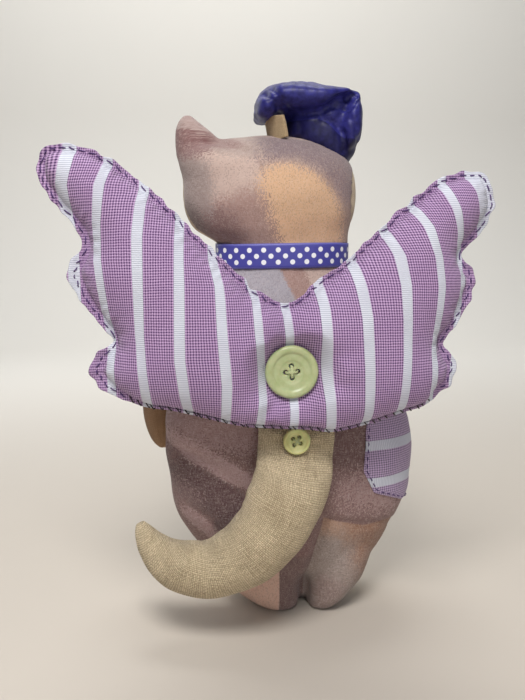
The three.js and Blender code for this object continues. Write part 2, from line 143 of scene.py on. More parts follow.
class Dye:
    # one finish; every node in it is made here
    def __init__(self, name):
        self.material = bpy.data.materials.new(name)
        self.material.use_nodes = True
        self.tree = self.material.node_tree
        self.tree.nodes.clear()

    def make(self, kind, settings=None, values=None, output=0):
        node = self.tree.nodes.new(kind)
        for key, value in (settings or {}).items():
            setattr(node, key, value)
        for key, value in (values or {}).items():
            if isinstance(value, Tone):
                self.tree.links.new(value.socket, node.inputs[key])
            else:
                whole = isinstance(value, tuple) and node.inputs[key].type == "RGBA"
                node.inputs[key].default_value = (*value, 1) if whole else value
        return Tone(self, node.outputs[output]) if node.outputs else None

    def parts(self, vector):
        split = self.make("ShaderNodeSeparateXYZ", {}, {0: vector}).socket.node
        return [Tone(self, out) for out in split.outputs]

    def spot(self):  # where a point is on the doll
        there = self.make("ShaderNodeTexCoord", {}, {}, "Object")
        x, y, z = self.parts(there)
        return x * 1000 - homeMm[0], y * 1000 - homeMm[1], z * 1000 - homeMm[2]

    def weave(self):  # where a point is on the flat cloth
        return self.parts(self.make("ShaderNodeAttribute", {"attribute_name": "clothPlace"}, {}, "Vector"))

    def vector(self, x, y, z=0):
        return self.make("ShaderNodeCombineXYZ", {}, {0: x, 1: y, 2: z})

    def cloud(self, vector, scale, detail=2.0, rough=0.5):
        return self.make("ShaderNodeTexNoise", {}, {"Vector": vector, "Scale": scale, "Detail": detail,
                                                    "Roughness": rough})

    def grain(self, vector):  # a new random value in each unit cell
        return self.make("ShaderNodeTexWhiteNoise", {"noise_dimensions": "2D"}, {"Vector": vector})

    def mix(self, amount, one, other):
        return self.make("ShaderNodeMix", {"data_type": "RGBA"}, {0: amount, 6: one, 7: other}, 2)

    def patch(self, x, z, middle, radius, turn=0, edge=0.35):  # soft oval, 1 inside
        c, s = math.cos(math.radians(turn)), math.sin(math.radians(turn))
        dx, dz = x - middle[0], z - middle[1]
        across, up = (dx * c + dz * s) / radius[0], (dz * c - dx * s) / radius[1]
        return 1 - (across * across + up * up).maths("SQRT").rise(1 - edge, 1 + edge)

    def finish(self, colour, rough, height=None, depth=0.3, strength=1.0, fixed=None):
        values = {"Base Color": colour, "Roughness": rough, **(fixed or {})}
        if height is not None:
            values["Normal"] = self.make("ShaderNodeBump", {}, {
                "Height": height, "Distance": depth / 1000, "Strength": strength})
        skin = self.make("ShaderNodeBsdfPrincipled", {}, values)
        self.make("ShaderNodeOutputMaterial", {}, {"Surface": skin})
        return self.material


def threads(dye, u, v, pitch):
    # plain weave: height of the crossing threads, and the lighter threads that stand out
    a, b = u / pitch, v / pitch
    overA = (a * math.pi).maths("SINE").maths("ABSOLUTE")
    overB = (b * math.pi).maths("SINE").maths("ABSOLUTE")
    odd = ((a.maths("FLOOR") + b.maths("FLOOR")) / 2).maths("FRACT").above(0.25)
    height = overA * odd + overB * (1 - odd)
    slubA = dye.cloud(dye.vector(a * 0.12, b), 1.0, 1)
    slubB = dye.cloud(dye.vector(a, b * 0.12), 1.0, 1)
    slub = slubA * odd + slubB * (1 - odd)
    return height, slub


def linenFinish(name, light, dark, pitch, depth):
    dye = Dye(name)
    u, v, _ = dye.weave()
    height, slub = threads(dye, u, v, pitch)
    tone = dye.mix((slub - 0.5) * 1.2 + 0.75, dark, light)
    soil = dye.cloud(dye.vector(u, v), 0.05, 2)
    # darker where the weave sinks between the threads: painted shade in the gaps
    tone = dye.mix(height.rise(0.1, 0.8), dye.mix(0.75, tone, dark), tone)
    tone = dye.mix(soil.rise(0.35, 0.75) * 0.25, tone, dark)
    return dye.finish(tone, 0.92, height, depth, 0.8, {"Sheen Weight": 0.15, "Specular IOR Level": 0.2})


wingCloth = {"check": 1.15, "stripe": 4.8, "repeat": 18.5,
             "purple": sRgb(76, 44, 96), "pale": sRgb(206, 174, 216), "white": sRgb(216, 220, 232),
             "shade": sRgb(160, 166, 186)}


def stripeFinish(name, swap=False):
    w = wingCloth
    dye = Dye(name)
    u, v, _ = dye.weave()
    if swap:
        u, v = v, u
    wobble = (dye.cloud(dye.vector(u, v), 0.35, 1) - 0.5) * 0.3
    near = ((u / w["repeat"] + 0.5).maths("FRACT") - 0.5).maths("ABSOLUTE") * w["repeat"]
    white = 1 - near.rise(w["stripe"] / 2 - 0.25, w["stripe"] / 2 + 0.25)
    a, b = (u + wobble) / w["check"], (v + wobble) / w["check"]
    darkA, darkB = a.maths("FRACT").above(0.5), b.maths("FRACT").above(0.5)
    amount = (darkA + darkB) * 0.5
    checks = dye.mix(amount, w["pale"], w["purple"])
    ribs = (v / 0.85 * math.pi).maths("SINE").maths("ABSOLUTE")
    plain = dye.mix(ribs.rise(0.1, 0.6), w["shade"], w["white"])
    colour = dye.mix(white, checks, plain)
    fade = dye.cloud(dye.vector(u, v), 0.06, 2)
    colour = dye.mix(fade.rise(0.3, 0.8) * 0.16, colour, sRgb(128, 92, 138))
    if swap:
        colour = dye.mix(0.16, colour, w["white"])
    height, _ = threads(dye, u, v, w["check"] / 2)
    height = height * (1 - white) * 0.6 + ribs * white
    return dye.finish(colour, 0.8, height, 0.16, 0.7, {"Sheen Weight": 0.2, "Specular IOR Level": 0.25})


printCloth = {
    "beige": sRgb(198, 174, 164), "tan": sRgb(184, 158, 142), "greyMauve": sRgb(156, 140, 136),
    "rose": sRgb(168, 136, 128), "redBrown": sRgb(128, 96, 94), "greyBrown": sRgb(112, 96, 92),
    "peach": sRgb(216, 176, 140), "lowPeachPaintedLight": sRgb(222, 180, 144), "speckle": sRgb(112, 94, 106),
    "crown": sRgb(158, 140, 134),
    "earTip": sRgb(166, 144, 140), "earRoseAndFoldShade": sRgb(126, 90, 90), "grey": sRgb(170, 166, 176),
    "hip": sRgb(130, 100, 98), "hipDarkAndShade": sRgb(86, 60, 64), "hipPaleAndRidgeHighlight": sRgb(180, 150, 150),
    "leg": sRgb(148, 134, 128), "legPeach": sRgb(184, 146, 122), "legBrown": sRgb(138, 98, 74),
    "foot": sRgb(216, 178, 160), "footMauve": sRgb(118, 92, 90),
    "fleck": sRgb(226, 212, 204), "grain": 0.55,
}


def printFinish():
    p = printCloth
    dye = Dye("printedCotton")
    x, y, z = dye.spot()
    u, v, _ = dye.weave()
    cells = dye.vector((u / p["grain"]).maths("FLOOR"), (v / p["grain"]).maths("FLOOR"))
    spray = dye.grain(cells) - 0.5
    blot = dye.cloud(dye.vector(x, y, z), 0.12, 3, 0.6) - 0.5

    def misted(field, soft=0.5, wander=0.5):  # a 0 to 1 field, broken up as from a spray can
        return (field + blot * wander + spray * soft).rise(0.32, 0.68)

    def area(middle, radius, turn=0, soft=0.5, mist=0.5):
        return misted(dye.patch(x, z, middle, radius, turn, soft), mist)

    def past(amount, width, mist=0.5):  # 1 where amount is above 0, fading over width
        return misted(amount.rise(-width, width), mist, 0.25)

    # head: pale above, red-brown low on the left
    colour = dye.mix(past(214 - z + (x + 20) * 0.3, 13), p["beige"], p["rose"])
    colour = dye.mix(area((-35, 193), (16, 15), 0, 0.8) * 0.8, colour, p["redBrown"])
    colour = dye.mix(area((-46, 218), (12, 20), 8, 0.8) * 0.85, colour, p["greyMauve"])
    colour = dye.mix(area((-48, 196), (12, 15), 20, 0.6) * 0.85, colour, p["greyBrown"])
    colour = dye.mix(past(z - 230 + (x + 20) * 0.14, 6) * 0.8, colour, p["crown"])
    # the diagonal line, the band beside it, and the peach field
    line = x + 8.1 + (z - 215) * 0.34
    band = line.rise(-0.5, 0.5)
    colour = dye.mix(band * (235 - z).rise(0, 8) * 0.5, colour, p["tan"])
    thin = (line * line * -0.5 + 1).rise(0, 1)
    colour = dye.mix(thin * (234 - z).rise(0, 10) * 0.35, colour, p["redBrown"])
    field = dye.patch(x, z, (0, 195), (29.5, 33.5), 0, 0.34) * (x + 11 + (z - 214) * 0.4).rise(-12, 12)
    # the peach is lighter low on the head: painted light against the shade where the head turns in to the
    # neck
    peach = dye.mix(past(203 - z, 10), p["peach"], p["lowPeachPaintedLight"])
    colour = dye.mix(misted(field, 0.45, 0.2), colour, peach)
    rim = (1 - dye.patch(x, z, (0, 195), (30, 32), 0, 0.2)) * (x + 14).rise(-8, 10) * (z - 200).rise(0, 16)
    colour = dye.mix(misted(rim * 0.8, 0.7, 0.3) * 0.8, colour, p["speckle"])
    # ear: rose print under the pale tip, and painted shade along its fold
    colour = dye.mix(area((-47, 239), (14, 9), -12, 0.75) * 0.9, colour, p["earRoseAndFoldShade"])
    # a thin band of it along the ear's fold: painted shade in the fold
    colour = dye.mix(area((-34, 240), (14, 4.5), -18, 0.6) * 0.6, colour, p["earRoseAndFoldShade"])
    colour = dye.mix(past(z - 244.4 + (x + 42) * 0.1, 1.4, 0.35), colour, p["earTip"])
    # under the ribbon
    chest = dye.mix(past(x - 2 + (z - 170) * 0.5, 2.5), p["grey"], p["rose"])
    chest = dye.mix(past(x - 13 + (z - 170) * 0.4, 3), chest, p["beige"])
    colour = dye.mix(past(181 - z, 2), colour, chest)
    # hips: mauve print with pale speckle, painted highlights on the ridges over the thigh folds with painted
    # shade under them, a darker patch low on the left, and painted shadow of the wing over the right hip
    hips = dye.mix(area((-36, 104), (30, 14), -8, 0.7, 0.7) * 0.5, p["hip"], p["hipPaleAndRidgeHighlight"])
    # painted shade under the upper thigh fold
    hips = dye.mix(area((-38, 70), (25, 11), -30, 0.8, 0.45) * 0.9, hips, p["hipDarkAndShade"])
    # painted highlight along the ridge above the upper thigh fold
    hips = dye.mix(area((-35, 84.5), (32, 5), -28, 0.95, 0.3) * 0.8, hips, p["hipPaleAndRidgeHighlight"])
    hips = dye.mix(area((-50, 66), (10, 7), -34, 0.9, 0.7) * 0.25, hips, p["hipPaleAndRidgeHighlight"])
    # painted highlight beside the lower fold
    hips = dye.mix(area((-41, 52), (13, 3.6), -36, 0.9, 0.4) * 0.55, hips, p["hipPaleAndRidgeHighlight"])
    hips = dye.mix(area((-25, 53), (9, 13), -20, 0.8, 0.4) * 0.8, hips, p["hipDarkAndShade"])
    # painted shadow of the wing over the top of the right hip
    hips = dye.mix(area((40, 92), (22, 20), 0, 0.8, 0.8) * 0.5, hips, p["hipDarkAndShade"])
    hips = dye.mix(area((46, 68), (20, 10), -10, 0.8, 0.9) * 0.4, hips, p["hipPaleAndRidgeHighlight"])
    # right leg, below the fold that closes it
    leg = dye.mix((z - 48 + blot * 14 + spray * 3).rise(-6, 5) * 0.75, p["leg"], p["legPeach"])
    leg = dye.mix((x - 34 + (z - 40) * 0.3 + blot * 14 + spray * 3).rise(-9, 8) * 0.85, leg, p["legBrown"])
    leg = dye.mix(area((22, 12), (9, 12), 0, 0.8) * 0.4, leg, p["hip"])
    top = 56 - (x - 20).maths("MINIMUM", 20) * 0.3 - z
    side = x - 11.6 - (z - 24).maths("MAXIMUM", 0) * 0.26
    hips = dye.mix(top.rise(-0.5, 0.5) * side.rise(-0.4, 0.4), hips, leg)
    # left foot, in two colours
    foot = dye.mix((x + 2).rise(-0.4, 0.4), p["foot"], p["footMauve"])
    hips = dye.mix(past(36 - z, 4) * (1 - side.rise(-0.4, 0.4)), hips, foot)
    colour = dye.mix(past(128 - z, 7), colour, hips)
    height, slub = threads(dye, u, v, 0.42)
    colour = dye.mix((slub - 0.4) * 0.7, colour, p["fleck"])
    colour = dye.mix((spray + 0.5).rise(0.72, 1) * 0.16, colour, p["fleck"])
    colour = dye.mix((0.28 - spray - 0.5).rise(0, 0.2) * 0.22, colour, p["hipDarkAndShade"])
    return dye.finish(colour, 0.92, height, 0.1, 0.6, {"Sheen Weight": 0.2, "Specular IOR Level": 0.2})


ribbonStyle = {"blue": sRgb(66, 66, 158), "edge": sRgb(120, 120, 196), "dot": sRgb(248, 250, 255),
               "pitch": 6.9, "row": 2.9, "dotRadius": 1.2, "width": 12}


def ribbonFinish():
    r = ribbonStyle
    dye = Dye("dottedRibbon")
    u, v, _ = dye.weave()

    def dots(shift, offset):
        du = ((u / r["pitch"] + shift).maths("FRACT") - 0.5) * r["pitch"]
        dv = v.maths("ABSOLUTE") - offset
        return 1 - (du * du + dv * dv).maths("SQRT").rise(r["dotRadius"] - 0.15, r["dotRadius"] + 0.15)

    mark = dots(0, r["row"]).maths("MAXIMUM", dots(0.5, 0))
    selvage = v.maths("ABSOLUTE").rise(r["width"] / 2 - 0.9, r["width"] / 2 - 0.6)
    ribs = (u / 0.32 * math.pi).maths("SINE").maths("ABSOLUTE")
    picots = (u / 0.8 * math.pi).maths("SINE").maths("ABSOLUTE") * selvage
    colour = dye.mix(ribs * 0.18, r["blue"], r["edge"])
    colour = dye.mix(selvage * 0.35 + picots * 0.35, colour, r["edge"])
    colour = dye.mix(mark, colour, r["dot"])
    return dye.finish(colour, 0.34 + mark * 0.2, ribs * 0.5 + picots + mark * 0.4, 0.08, 0.6,
                      {"Specular IOR Level": 0.6, "Anisotropic": 0.4})


def capFinish(name, dark, light):
    dye = Dye(name)
    x, y, z = dye.spot()
    at = dye.vector(x, y, z)
    crinkle = dye.cloud(at, 0.35, 3, 0.6)
    fine = dye.cloud(at, 2.2, 2, 0.6)
    colour = dye.mix(crinkle.rise(0.3, 0.7), dark, light)
    return dye.finish(colour, 0.36 + fine * 0.14, crinkle * 0.8 + fine * 0.2, 0.35, 0.5,
                      {"Specular IOR Level": 0.28})


def buttonFinish(name, body, deep):
    dye = Dye(name)
    x, y, z = dye.spot()
    swirl = dye.cloud(dye.vector(x, y, z), 0.22, 3, 0.55)
    colour = dye.mix(swirl.rise(0.35, 0.7), body, deep)
    return dye.finish(colour, 0.28 + swirl * 0.1, swirl, 0.05, 0.3,
                      {"Subsurface Weight": 0.15, "Subsurface Scale": 0.003, "Specular IOR Level": 0.5})


def threadFinish(name, colour, dark):
    dye = Dye(name)
    x, y, z = dye.spot()
    ply = ((x + z * 0.9 + y * 0.6) * 7.5).maths("SINE") * 0.5 + 0.5
    return dye.finish(dye.mix(ply * 0.6 + 0.3, dark, colour), 0.75, ply, 0.1, 0.7, {"Sheen Weight": 0.2})


finishes = {
    "print": printFinish(),
    "linen": linenFinish("naturalLinen", sRgb(236, 218, 184), sRgb(98, 78, 50), 0.85, 0.36),
    "fineLinen": linenFinish("fineLinen", sRgb(224, 208, 184), sRgb(186, 164, 134), 0.5, 0.14),
    # a darker copy of the fine linen for the peak: painted shade under the crown
    "peakLinen": linenFinish("peakLinen", sRgb(202, 178, 142), sRgb(134, 110, 78), 0.5, 0.16),
    "stripe": stripeFinish("stripedGingham"),
    "stripeAcross": stripeFinish("stripedGinghamAcross", True),
    "ribbon": ribbonFinish(),
    "capCrown": capFinish("capSatin", sRgb(34, 33, 92), sRgb(50, 50, 126)),
    # the band is the crown's satin darkened: painted shade under the overhanging roll
    "capBand": capFinish("capBandPaintedShadeSatin", sRgb(22, 21, 62), sRgb(34, 33, 86)),
    "bigButton": buttonFinish("paleGreenButton", sRgb(178, 186, 142), sRgb(164, 176, 126)),
    "smallButton": buttonFinish("limeButton", sRgb(214, 214, 150), sRgb(196, 198, 132)),
    "paleThread": threadFinish("paleThread", sRgb(206, 214, 168), sRgb(150, 160, 110)),
    "purpleThread": threadFinish("purpleThread", sRgb(92, 60, 122), sRgb(54, 34, 84)),
    "darkThread": threadFinish("darkThread", sRgb(58, 44, 50), sRgb(26, 18, 22)),
}
print("finishes mixed")


def spline(rows, count, closed=False):
    # smooth curve through rows of numbers
    rows = np.asarray(rows, float)
    n = len(rows)
    t = np.arange(count) * n / count if closed else np.linspace(0, n - 1, count)
    i = np.minimum(t.astype(int), n - 1 if closed else n - 2)
    f = (t - i)[:, None]
    pick = (lambda k: rows[(i + k) % n]) if closed else (lambda k: rows[np.clip(i + k, 0, n - 1)])
    a, b, c, d = pick(-1), pick(0), pick(1), pick(2)
    return 0.5 * (2 * b + (c - a) * f + (2 * a - 5 * b + 4 * c - d) * f ** 2
                  + (3 * b - a - 3 * c + d) * f ** 3)


def evenly(points, spacing, closed=False):
    # the same curve with points a fixed distance apart
    line = np.vstack([points, points[:1]]) if closed else np.asarray(points)
    along = np.concatenate([[0], np.cumsum(np.linalg.norm(np.diff(line, axis=0), axis=1))])
    count = max(3, int(round(along[-1] / spacing)))
    want = np.linspace(0, along[-1], count + 1)[: count if closed else count + 1]
    return np.stack([np.interp(want, along, line[:, k]) for k in range(line.shape[1])], 1)


def gridFaces(rows, columns, wrap=True):
    faces = []
    for i in range(rows - 1):
        for j in range(columns if wrap else columns - 1):
            k = (j + 1) % columns
            faces.append((i * columns + j, i * columns + k, (i + 1) * columns + k, (i + 1) * columns + j))
    return faces


def capped(points, faces, rows, columns):
    # closes both ends of a tube
    points = np.asarray(points, float)
    first, last = points[:columns].mean(0), points[-columns:].mean(0)
    n, top = len(points), (rows - 1) * columns
    ends = [(n, (j + 1) % columns, j) for j in range(columns)]
    ends += [(n + 1, top + j, top + (j + 1) % columns) for j in range(columns)]
    return np.vstack([points, first, last]), faces + ends


def addPiece(name, points, faces, finish, body, stands=(), place=None, smooth=True):
    mesh = bpy.data.meshes.new(name)
    mesh.from_pydata(inFrame(points).tolist(), [], [tuple(int(k) for k in f) for f in faces])
    mesh.validate()
    if place is not None:
        store(mesh, place)
    turnOut(mesh)
    for part in finish if isinstance(finish, list) else [finish]:
        mesh.materials.append(finishes[part])
    mesh.polygons.foreach_set("use_smooth", [smooth] * len(mesh.polygons))
    thing = bpy.data.objects.new(name, mesh)
    bpy.context.scene.collection.objects.link(thing)
    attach(thing, body)
    if stands:
        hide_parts(*stands)
    return thing


def store(mesh, place):
    # the flat-cloth place of each point, kept on the mesh for the weave
    layer = mesh.attributes.new("clothPlace", "FLOAT_VECTOR", "POINT")
    flat = np.zeros((len(mesh.vertices), 3))
    flat[:, :place.shape[1]] = place
    layer.data.foreach_set("vector", flat.astype(np.float32).ravel())


def turnOut(mesh):
    work = bmesh.new()
    work.from_mesh(mesh)
    bmesh.ops.recalc_face_normals(work, faces=work.faces)
    work.to_mesh(mesh)
    work.free()


def readMesh(mesh):
    points = np.zeros(len(mesh.vertices) * 3)
    mesh.vertices.foreach_get("co", points)
    return points.reshape(-1, 3)


def subdivide(thing, levels=1):
    mod = thing.modifiers.new("smoother", "SUBSURF")
    mod.levels = mod.render_levels = levels


def creased(points, normals, line, width, depth, side=None):
    # presses a soft fold into a surface along a line of (x, z)
    line = evenly(np.asarray(line, float), 1.0)
    flat = points[:, [0, 2]]
    away = np.full(len(points), 1e9)
    for spot in line:
        away = np.minimum(away, np.hypot(*(flat - spot).T))
    amount = depth * np.exp(-(away / width) ** 2)
    if side is not None:
        amount = amount * (points[:, 1] * side > 4)
    return points - normals * amount[:, None]


def lumps(points, size, seed=0):
    move = Vector((seed * 7.3, seed * 3.1, 0))
    return np.array([noise.noise(Vector(p) / size + move) for p in points])


def capsules(paths, radius, sides=6):
    # short rods with round ends, all in one mesh; each path is a row of points
    points, faces = [], []
    for path in paths:
        path = np.asarray(path, float)
        heads = [path[0] - (path[1] - path[0]) * 0.12, *path, path[-1] + (path[-1] - path[-2]) * 0.12]
        sizes = [radius * 0.35] + [radius] * len(path) + [radius * 0.35]
        start = len(points)
        for i, (spot, size) in enumerate(zip(heads, sizes)):
            along = heads[min(i + 1, len(heads) - 1)] - heads[max(i - 1, 0)]
            along = along / (np.linalg.norm(along) + 1e-9)
            side = np.cross(along, (0.13, 0.2, 0.97) if abs(along[2]) < 0.9 else (0.97, 0.2, 0.13))
            side = side / np.linalg.norm(side)
            up = np.cross(along, side)
            for k in range(sides):
                t = 2 * math.pi * k / sides
                points.append(spot + size * (math.cos(t) * side + math.sin(t) * up))
        rows = len(heads)
        faces += [tuple(start + k for k in f) for f in gridFaces(rows, sides)]
        faces.append(tuple(start + k for k in reversed(range(sides))))
        faces.append(tuple(start + (rows - 1) * sides + k for k in range(sides)))
    return np.array(points), faces


def clothRun(points, faces, pins, pressure, slack, frames, stiffness=12, bend=0.4):
    # blows a sewn shape up with the cloth solver at ten times its size, and returns its points
    mesh = bpy.data.meshes.new("clothRun")
    mesh.from_pydata((points / 100).tolist(), [], [tuple(int(k) for k in f) for f in faces])
    turnOut(mesh)
    thing = bpy.data.objects.new("clothRun", mesh)
    bpy.context.scene.collection.objects.link(thing)
    held = thing.vertex_groups.new(name="held")
    for index, weight in pins.items():
        held.add([int(index)], weight, "REPLACE")
    cloth = thing.modifiers.new("cloth", "CLOTH")
    s = cloth.settings
    s.quality, s.mass, s.air_damping = 6, 0.2, 3
    s.tension_stiffness = s.compression_stiffness = stiffness
    s.shear_stiffness, s.bending_stiffness = stiffness / 2, bend
    s.use_pressure, s.uniform_pressure_force = True, pressure
    s.shrink_min = s.shrink_max = -slack
    s.vertex_group_mass, s.pin_stiffness = "held", 2
    s.effector_weights.gravity = 0
    cloth.collision_settings.use_collision = False
    cloth.point_cache.frame_start, cloth.point_cache.frame_end = 1, frames + 1
    for step in range(1, frames + 1):
        bpy.context.scene.frame_set(step)
    shown = thing.evaluated_get(bpy.context.evaluated_depsgraph_get())
    result = readMesh(shown.data) * 100
    bpy.data.objects.remove(thing)
    bpy.context.scene.frame_set(1)
    return result


body = {
    "roundness": 2.2, "voxel": 1.5,
    # height, left edge, right edge, depth behind, depth in front
    "torso": [
        (15, 4, 19, 5, 6), (18, -6, 28, 13, 16), (24, -22, 41, 20, 25), (32, -38, 51.5, 24.5, 31),
        (48, -50, 60.5, 28, 37), (64, -55.5, 66.7, 30, 41), (84, -58, 69.2, 30, 42),
        (97, -58, 66.7, 29.8, 41), (106, -57.5, 64, 30, 39.5), (125, -52, 58, 31, 36),
        (145, -45, 50, 30, 32), (163, -38, 42, 26.5, 27.5), (173, -33, 35.5, 23.2, 23.5),
        (177.5, -31, 33.6, 22, 22), (184, -30.6, 33.4, 21.6, 21.8), (189.6, -30.6, 33.6, 21.8, 22.3),
        (193.2, -35.6, 33.8, 23, 24.5),
        (197.5, -42.2, 34.3, 25.2, 29.4), (205, -46.3, 36.9, 27.5, 34), (213, -47.5, 38, 28.5, 37),
        (221, -48, 37.7, 28.5, 36), (229, -50, 36, 27, 32), (235.5, -48, 30, 22, 26),
        (240, -34, 21, 15, 18), (242.8, -14, 10, 6, 8)],
    "leftLeg": [
        (4, -9, 9.9, 16, 22), (5.2, -12.5, 11.2, 19.5, 26), (8, -17, 11.8, 22, 29),
        (12, -22.5, 12, 24, 31), (20, -30, 12, 25, 31), (32, -37, 9, 24, 29), (42, -36, 6, 20, 25)],
    "rightLeg": [
        (4, 13.2, 26, 16, 22), (5.2, 12.2, 29.5, 19.5, 26), (8, 11.8, 33.5, 22, 29),
        (12, 11.4, 38, 24, 31), (20, 11.4, 44.5, 25, 31), (32, 14, 49, 24, 29),
        (42, 18, 49, 20, 25)],
    "ear": [
        (224, -49, -22, 16, 14), (232, -51.3, -24, 13, 12), (240, -51.5, -29, 10, 9.5),
        (247, -50.8, -36.5, 7, 7), (251, -48.8, -41, 4.5, 4.5), (252.6, -46.5, -43.2, 2.5, 2.5)],
    "soles": 4, "foldDepth": 1.5, "seamDepth": 0.9,
}


def sectionRings(sections, rows, count):
    power = 2 / body["roundness"]
    t = np.arange(count) * 2 * math.pi / count
    c = np.sign(np.cos(t)) * np.abs(np.cos(t)) ** power
    s = np.sign(np.sin(t)) * np.abs(np.sin(t)) ** power
    rings = []
    for z, left, right, back, front in spline(sections, rows):
        x = (left + right) / 2 + (right - left) / 2 * c
        rings.append(np.stack([x, s * np.where(s < 0, back, front), np.full(count, z)], 1))
    return np.vstack(rings)


def closedLoft(sections, rows=60, count=72):
    return capped(sectionRings(sections, rows, count), gridFaces(rows, count), rows, count)


def fused(parts, voxel, rounds):
    # one skin round several closed shapes that overlap
    points, faces = [], []
    for p, f in parts:
        start = sum(len(q) for q in points)
        points.append(p)
        faces += [tuple(start + k for k in face) for face in f]
    mesh = bpy.data.meshes.new("fused")
    mesh.from_pydata((np.vstack(points) / 1000).tolist(), [], faces)
    turnOut(mesh)
    thing = bpy.data.objects.new("fused", mesh)
    bpy.context.scene.collection.objects.link(thing)
    mod = thing.modifiers.new("skin", "REMESH")
    mod.mode, mod.voxel_size = "VOXEL", voxel / 1000
    relax = thing.modifiers.new("relax", "SMOOTH")
    relax.factor, relax.iterations = 0.5, rounds
    shown = thing.evaluated_get(bpy.context.evaluated_depsgraph_get())
    made = bpy.data.meshes.new_from_object(shown)
    bpy.data.objects.remove(thing)
    normals = np.zeros(len(made.vertices) * 3)
    made.vertices.foreach_get("normal", normals)
    return readMesh(made) * 1000, normals.reshape(-1, 3), [tuple(p.vertices) for p in made.polygons]


def shapeBody():
    parts = [closedLoft(body["torso"], 110, 96)]
    parts += [closedLoft(body[part], 40, 48) for part in ("leftLeg", "rightLeg", "ear")]
    points, normals, faces = fused(parts, body["voxel"], 5)
    z = points[:, 2]
    turn = np.arctan2(points[:, 1], points[:, 0] - 1.5)
    # gathers above and below the ribbon
    near = np.exp(-((z - 184.5) / 9) ** 2)
    pleats = np.sin(turn * 23 + 2.2 * np.sin(turn * 5)) * near * 0.3
    stuffing = lumps(points, 22) * 1.0 + lumps(points, 9, 1) * 0.35
    stuffing *= np.clip((z - body["soles"]) / 14, 0, 1)  # soles stay flat
    points = points + normals * (pleats + stuffing)[:, None]
    # ear, folded where it was turned out
    deep = body["foldDepth"]
    points = creased(points, normals, [(-37, 239.5), (-29, 238.5), (-18, 233)], 1.6, deep, -1)
    points = creased(points, normals, [(-36, 236.5), (-28, 235), (-22, 231.5)], 1.3, deep * 0.5, -1)
    points = creased(points, normals, [(-36, 238), (-22, 231)], 2, deep, 1)
    # thighs behind, and the line where the right leg begins
    thigh = [(-57, 90), (-46, 88), (-34, 81.5), (-22, 72), (-16, 62)]
    points = creased(points, normals, thigh, 3.4, 1.5, -1)
    points = creased(points, normals, [(-47, 60), (-38, 56), (-30, 46)], 2.6, 0.9, -1)
    legTop = [(19, 55), (24, 55.2), (32, 52.8), (40, 50.2), (52, 49.6), (58, 47)]
    points = creased(points, normals, legTop, 2.2, 1.7, -1)
    points = creased(points, normals, [(20, 54), (15.5, 38), (12, 24), (11.7, 12), (11.6, 3)], 2.1, 2.6, -1)
    points = creased(points, normals, [(11.6, 46), (11.6, 20), (11.6, 3)], 2.2, 2.4, 1)
    # muzzle and cheeks
    dx, dz = points[:, 0] + 5.5, z - 209
    snout = np.exp(-(dx / 11) ** 2 - (dz / 8) ** 2) * (points[:, 1] > 8)
    points = points + normals * (snout * 4)[:, None]
    # the side seam, drawn in with small puckers
    seamline = np.exp(-((points[:, 1] - seamDepthAt(points)) / 1.7) ** 2) * np.clip((z - 7) / 6, 0, 1)
    ripple = 1 + 0.5 * np.sin(z * 1.4 + np.sin(z * 0.37) * 2)
    points = points - normals * (seamline * body["seamDepth"] * ripple)[:, None]
    points[:, 2] = np.maximum(points[:, 2], body["soles"] + 0.05)
    return points, faces


def seamDepthAt(points):
    # the side seam runs up the middle, but further back over the cheeks
    x, z = points[:, 0], points[:, 2]
    right = np.clip((x - 12) / 14, 0, 1) * np.exp(-((z - 214) / 13) ** 4) * 12
    left = np.clip((-x - 28) / 12, 0, 1) * np.exp(-((z - 200) / 10) ** 4) * 2.5
    return -right - left


def onePart(points, faces, level, axis, sign):
    # the part of a mesh beyond (+1) or before (-1) a curved cut; level gives the cut's place on that axis
    up = np.eye(3)[axis]
    work = bmesh.new()
    mesh = bpy.data.meshes.new("part")
    mesh.from_pydata((points - np.outer(level(points), up)).tolist(), [], faces)
    work.from_mesh(mesh)
    bmesh.ops.bisect_plane(work, geom=work.verts[:] + work.edges[:] + work.faces[:],
                           plane_co=(0, 0, 0), plane_no=tuple(up * sign), clear_inner=True)
    work.to_mesh(mesh)
    work.free()
    part = readMesh(mesh)
    return part + np.outer(level(part), up), [tuple(p.vertices) for p in mesh.polygons]


bodyPoints, bodyFaces = shapeBody()
bodySkin = BVHTree.FromPolygons([Vector(p) for p in bodyPoints], bodyFaces)
for name, sign, look, stands, slot in (
        ("bodyBackCloth", -1, "print", ("body_back_panel", "body_fill"), "print_cotton"),
        ("bodyFrontCloth", 1, "fineLinen", ("body_front_panel",), "linen")):
    points, faces = onePart(bodyPoints, bodyFaces, seamDepthAt, 1, sign)
    around = np.arctan2(points[:, 1] * -sign, points[:, 0] - 3) * 46
    thing = addPiece(name, points, faces, look, "doll", stands, np.stack([around, points[:, 2]], 1))
print("body sewn")


def frontOf(x, z):
    hit = bodySkin.ray_cast(Vector((x, 90, z)), Vector((0, -1, 0)))[0]
    return hit.y


face = {"eyes": [(-18, 218), (7, 218)], "eyeRadius": 2.9, "nose": (-5.5, 212.5), "mouthWidth": 8}


def turned(profile, count=40):
    # points of a shape turned round the Y axis from rows of (radius, y)
    t = np.arange(count) * 2 * math.pi / count
    rings = [np.stack([r * np.cos(t), np.full(count, y), r * np.sin(t)], 1) for r, y in profile]
    return capped(np.vstack(rings), gridFaces(len(profile), count), len(profile), count)


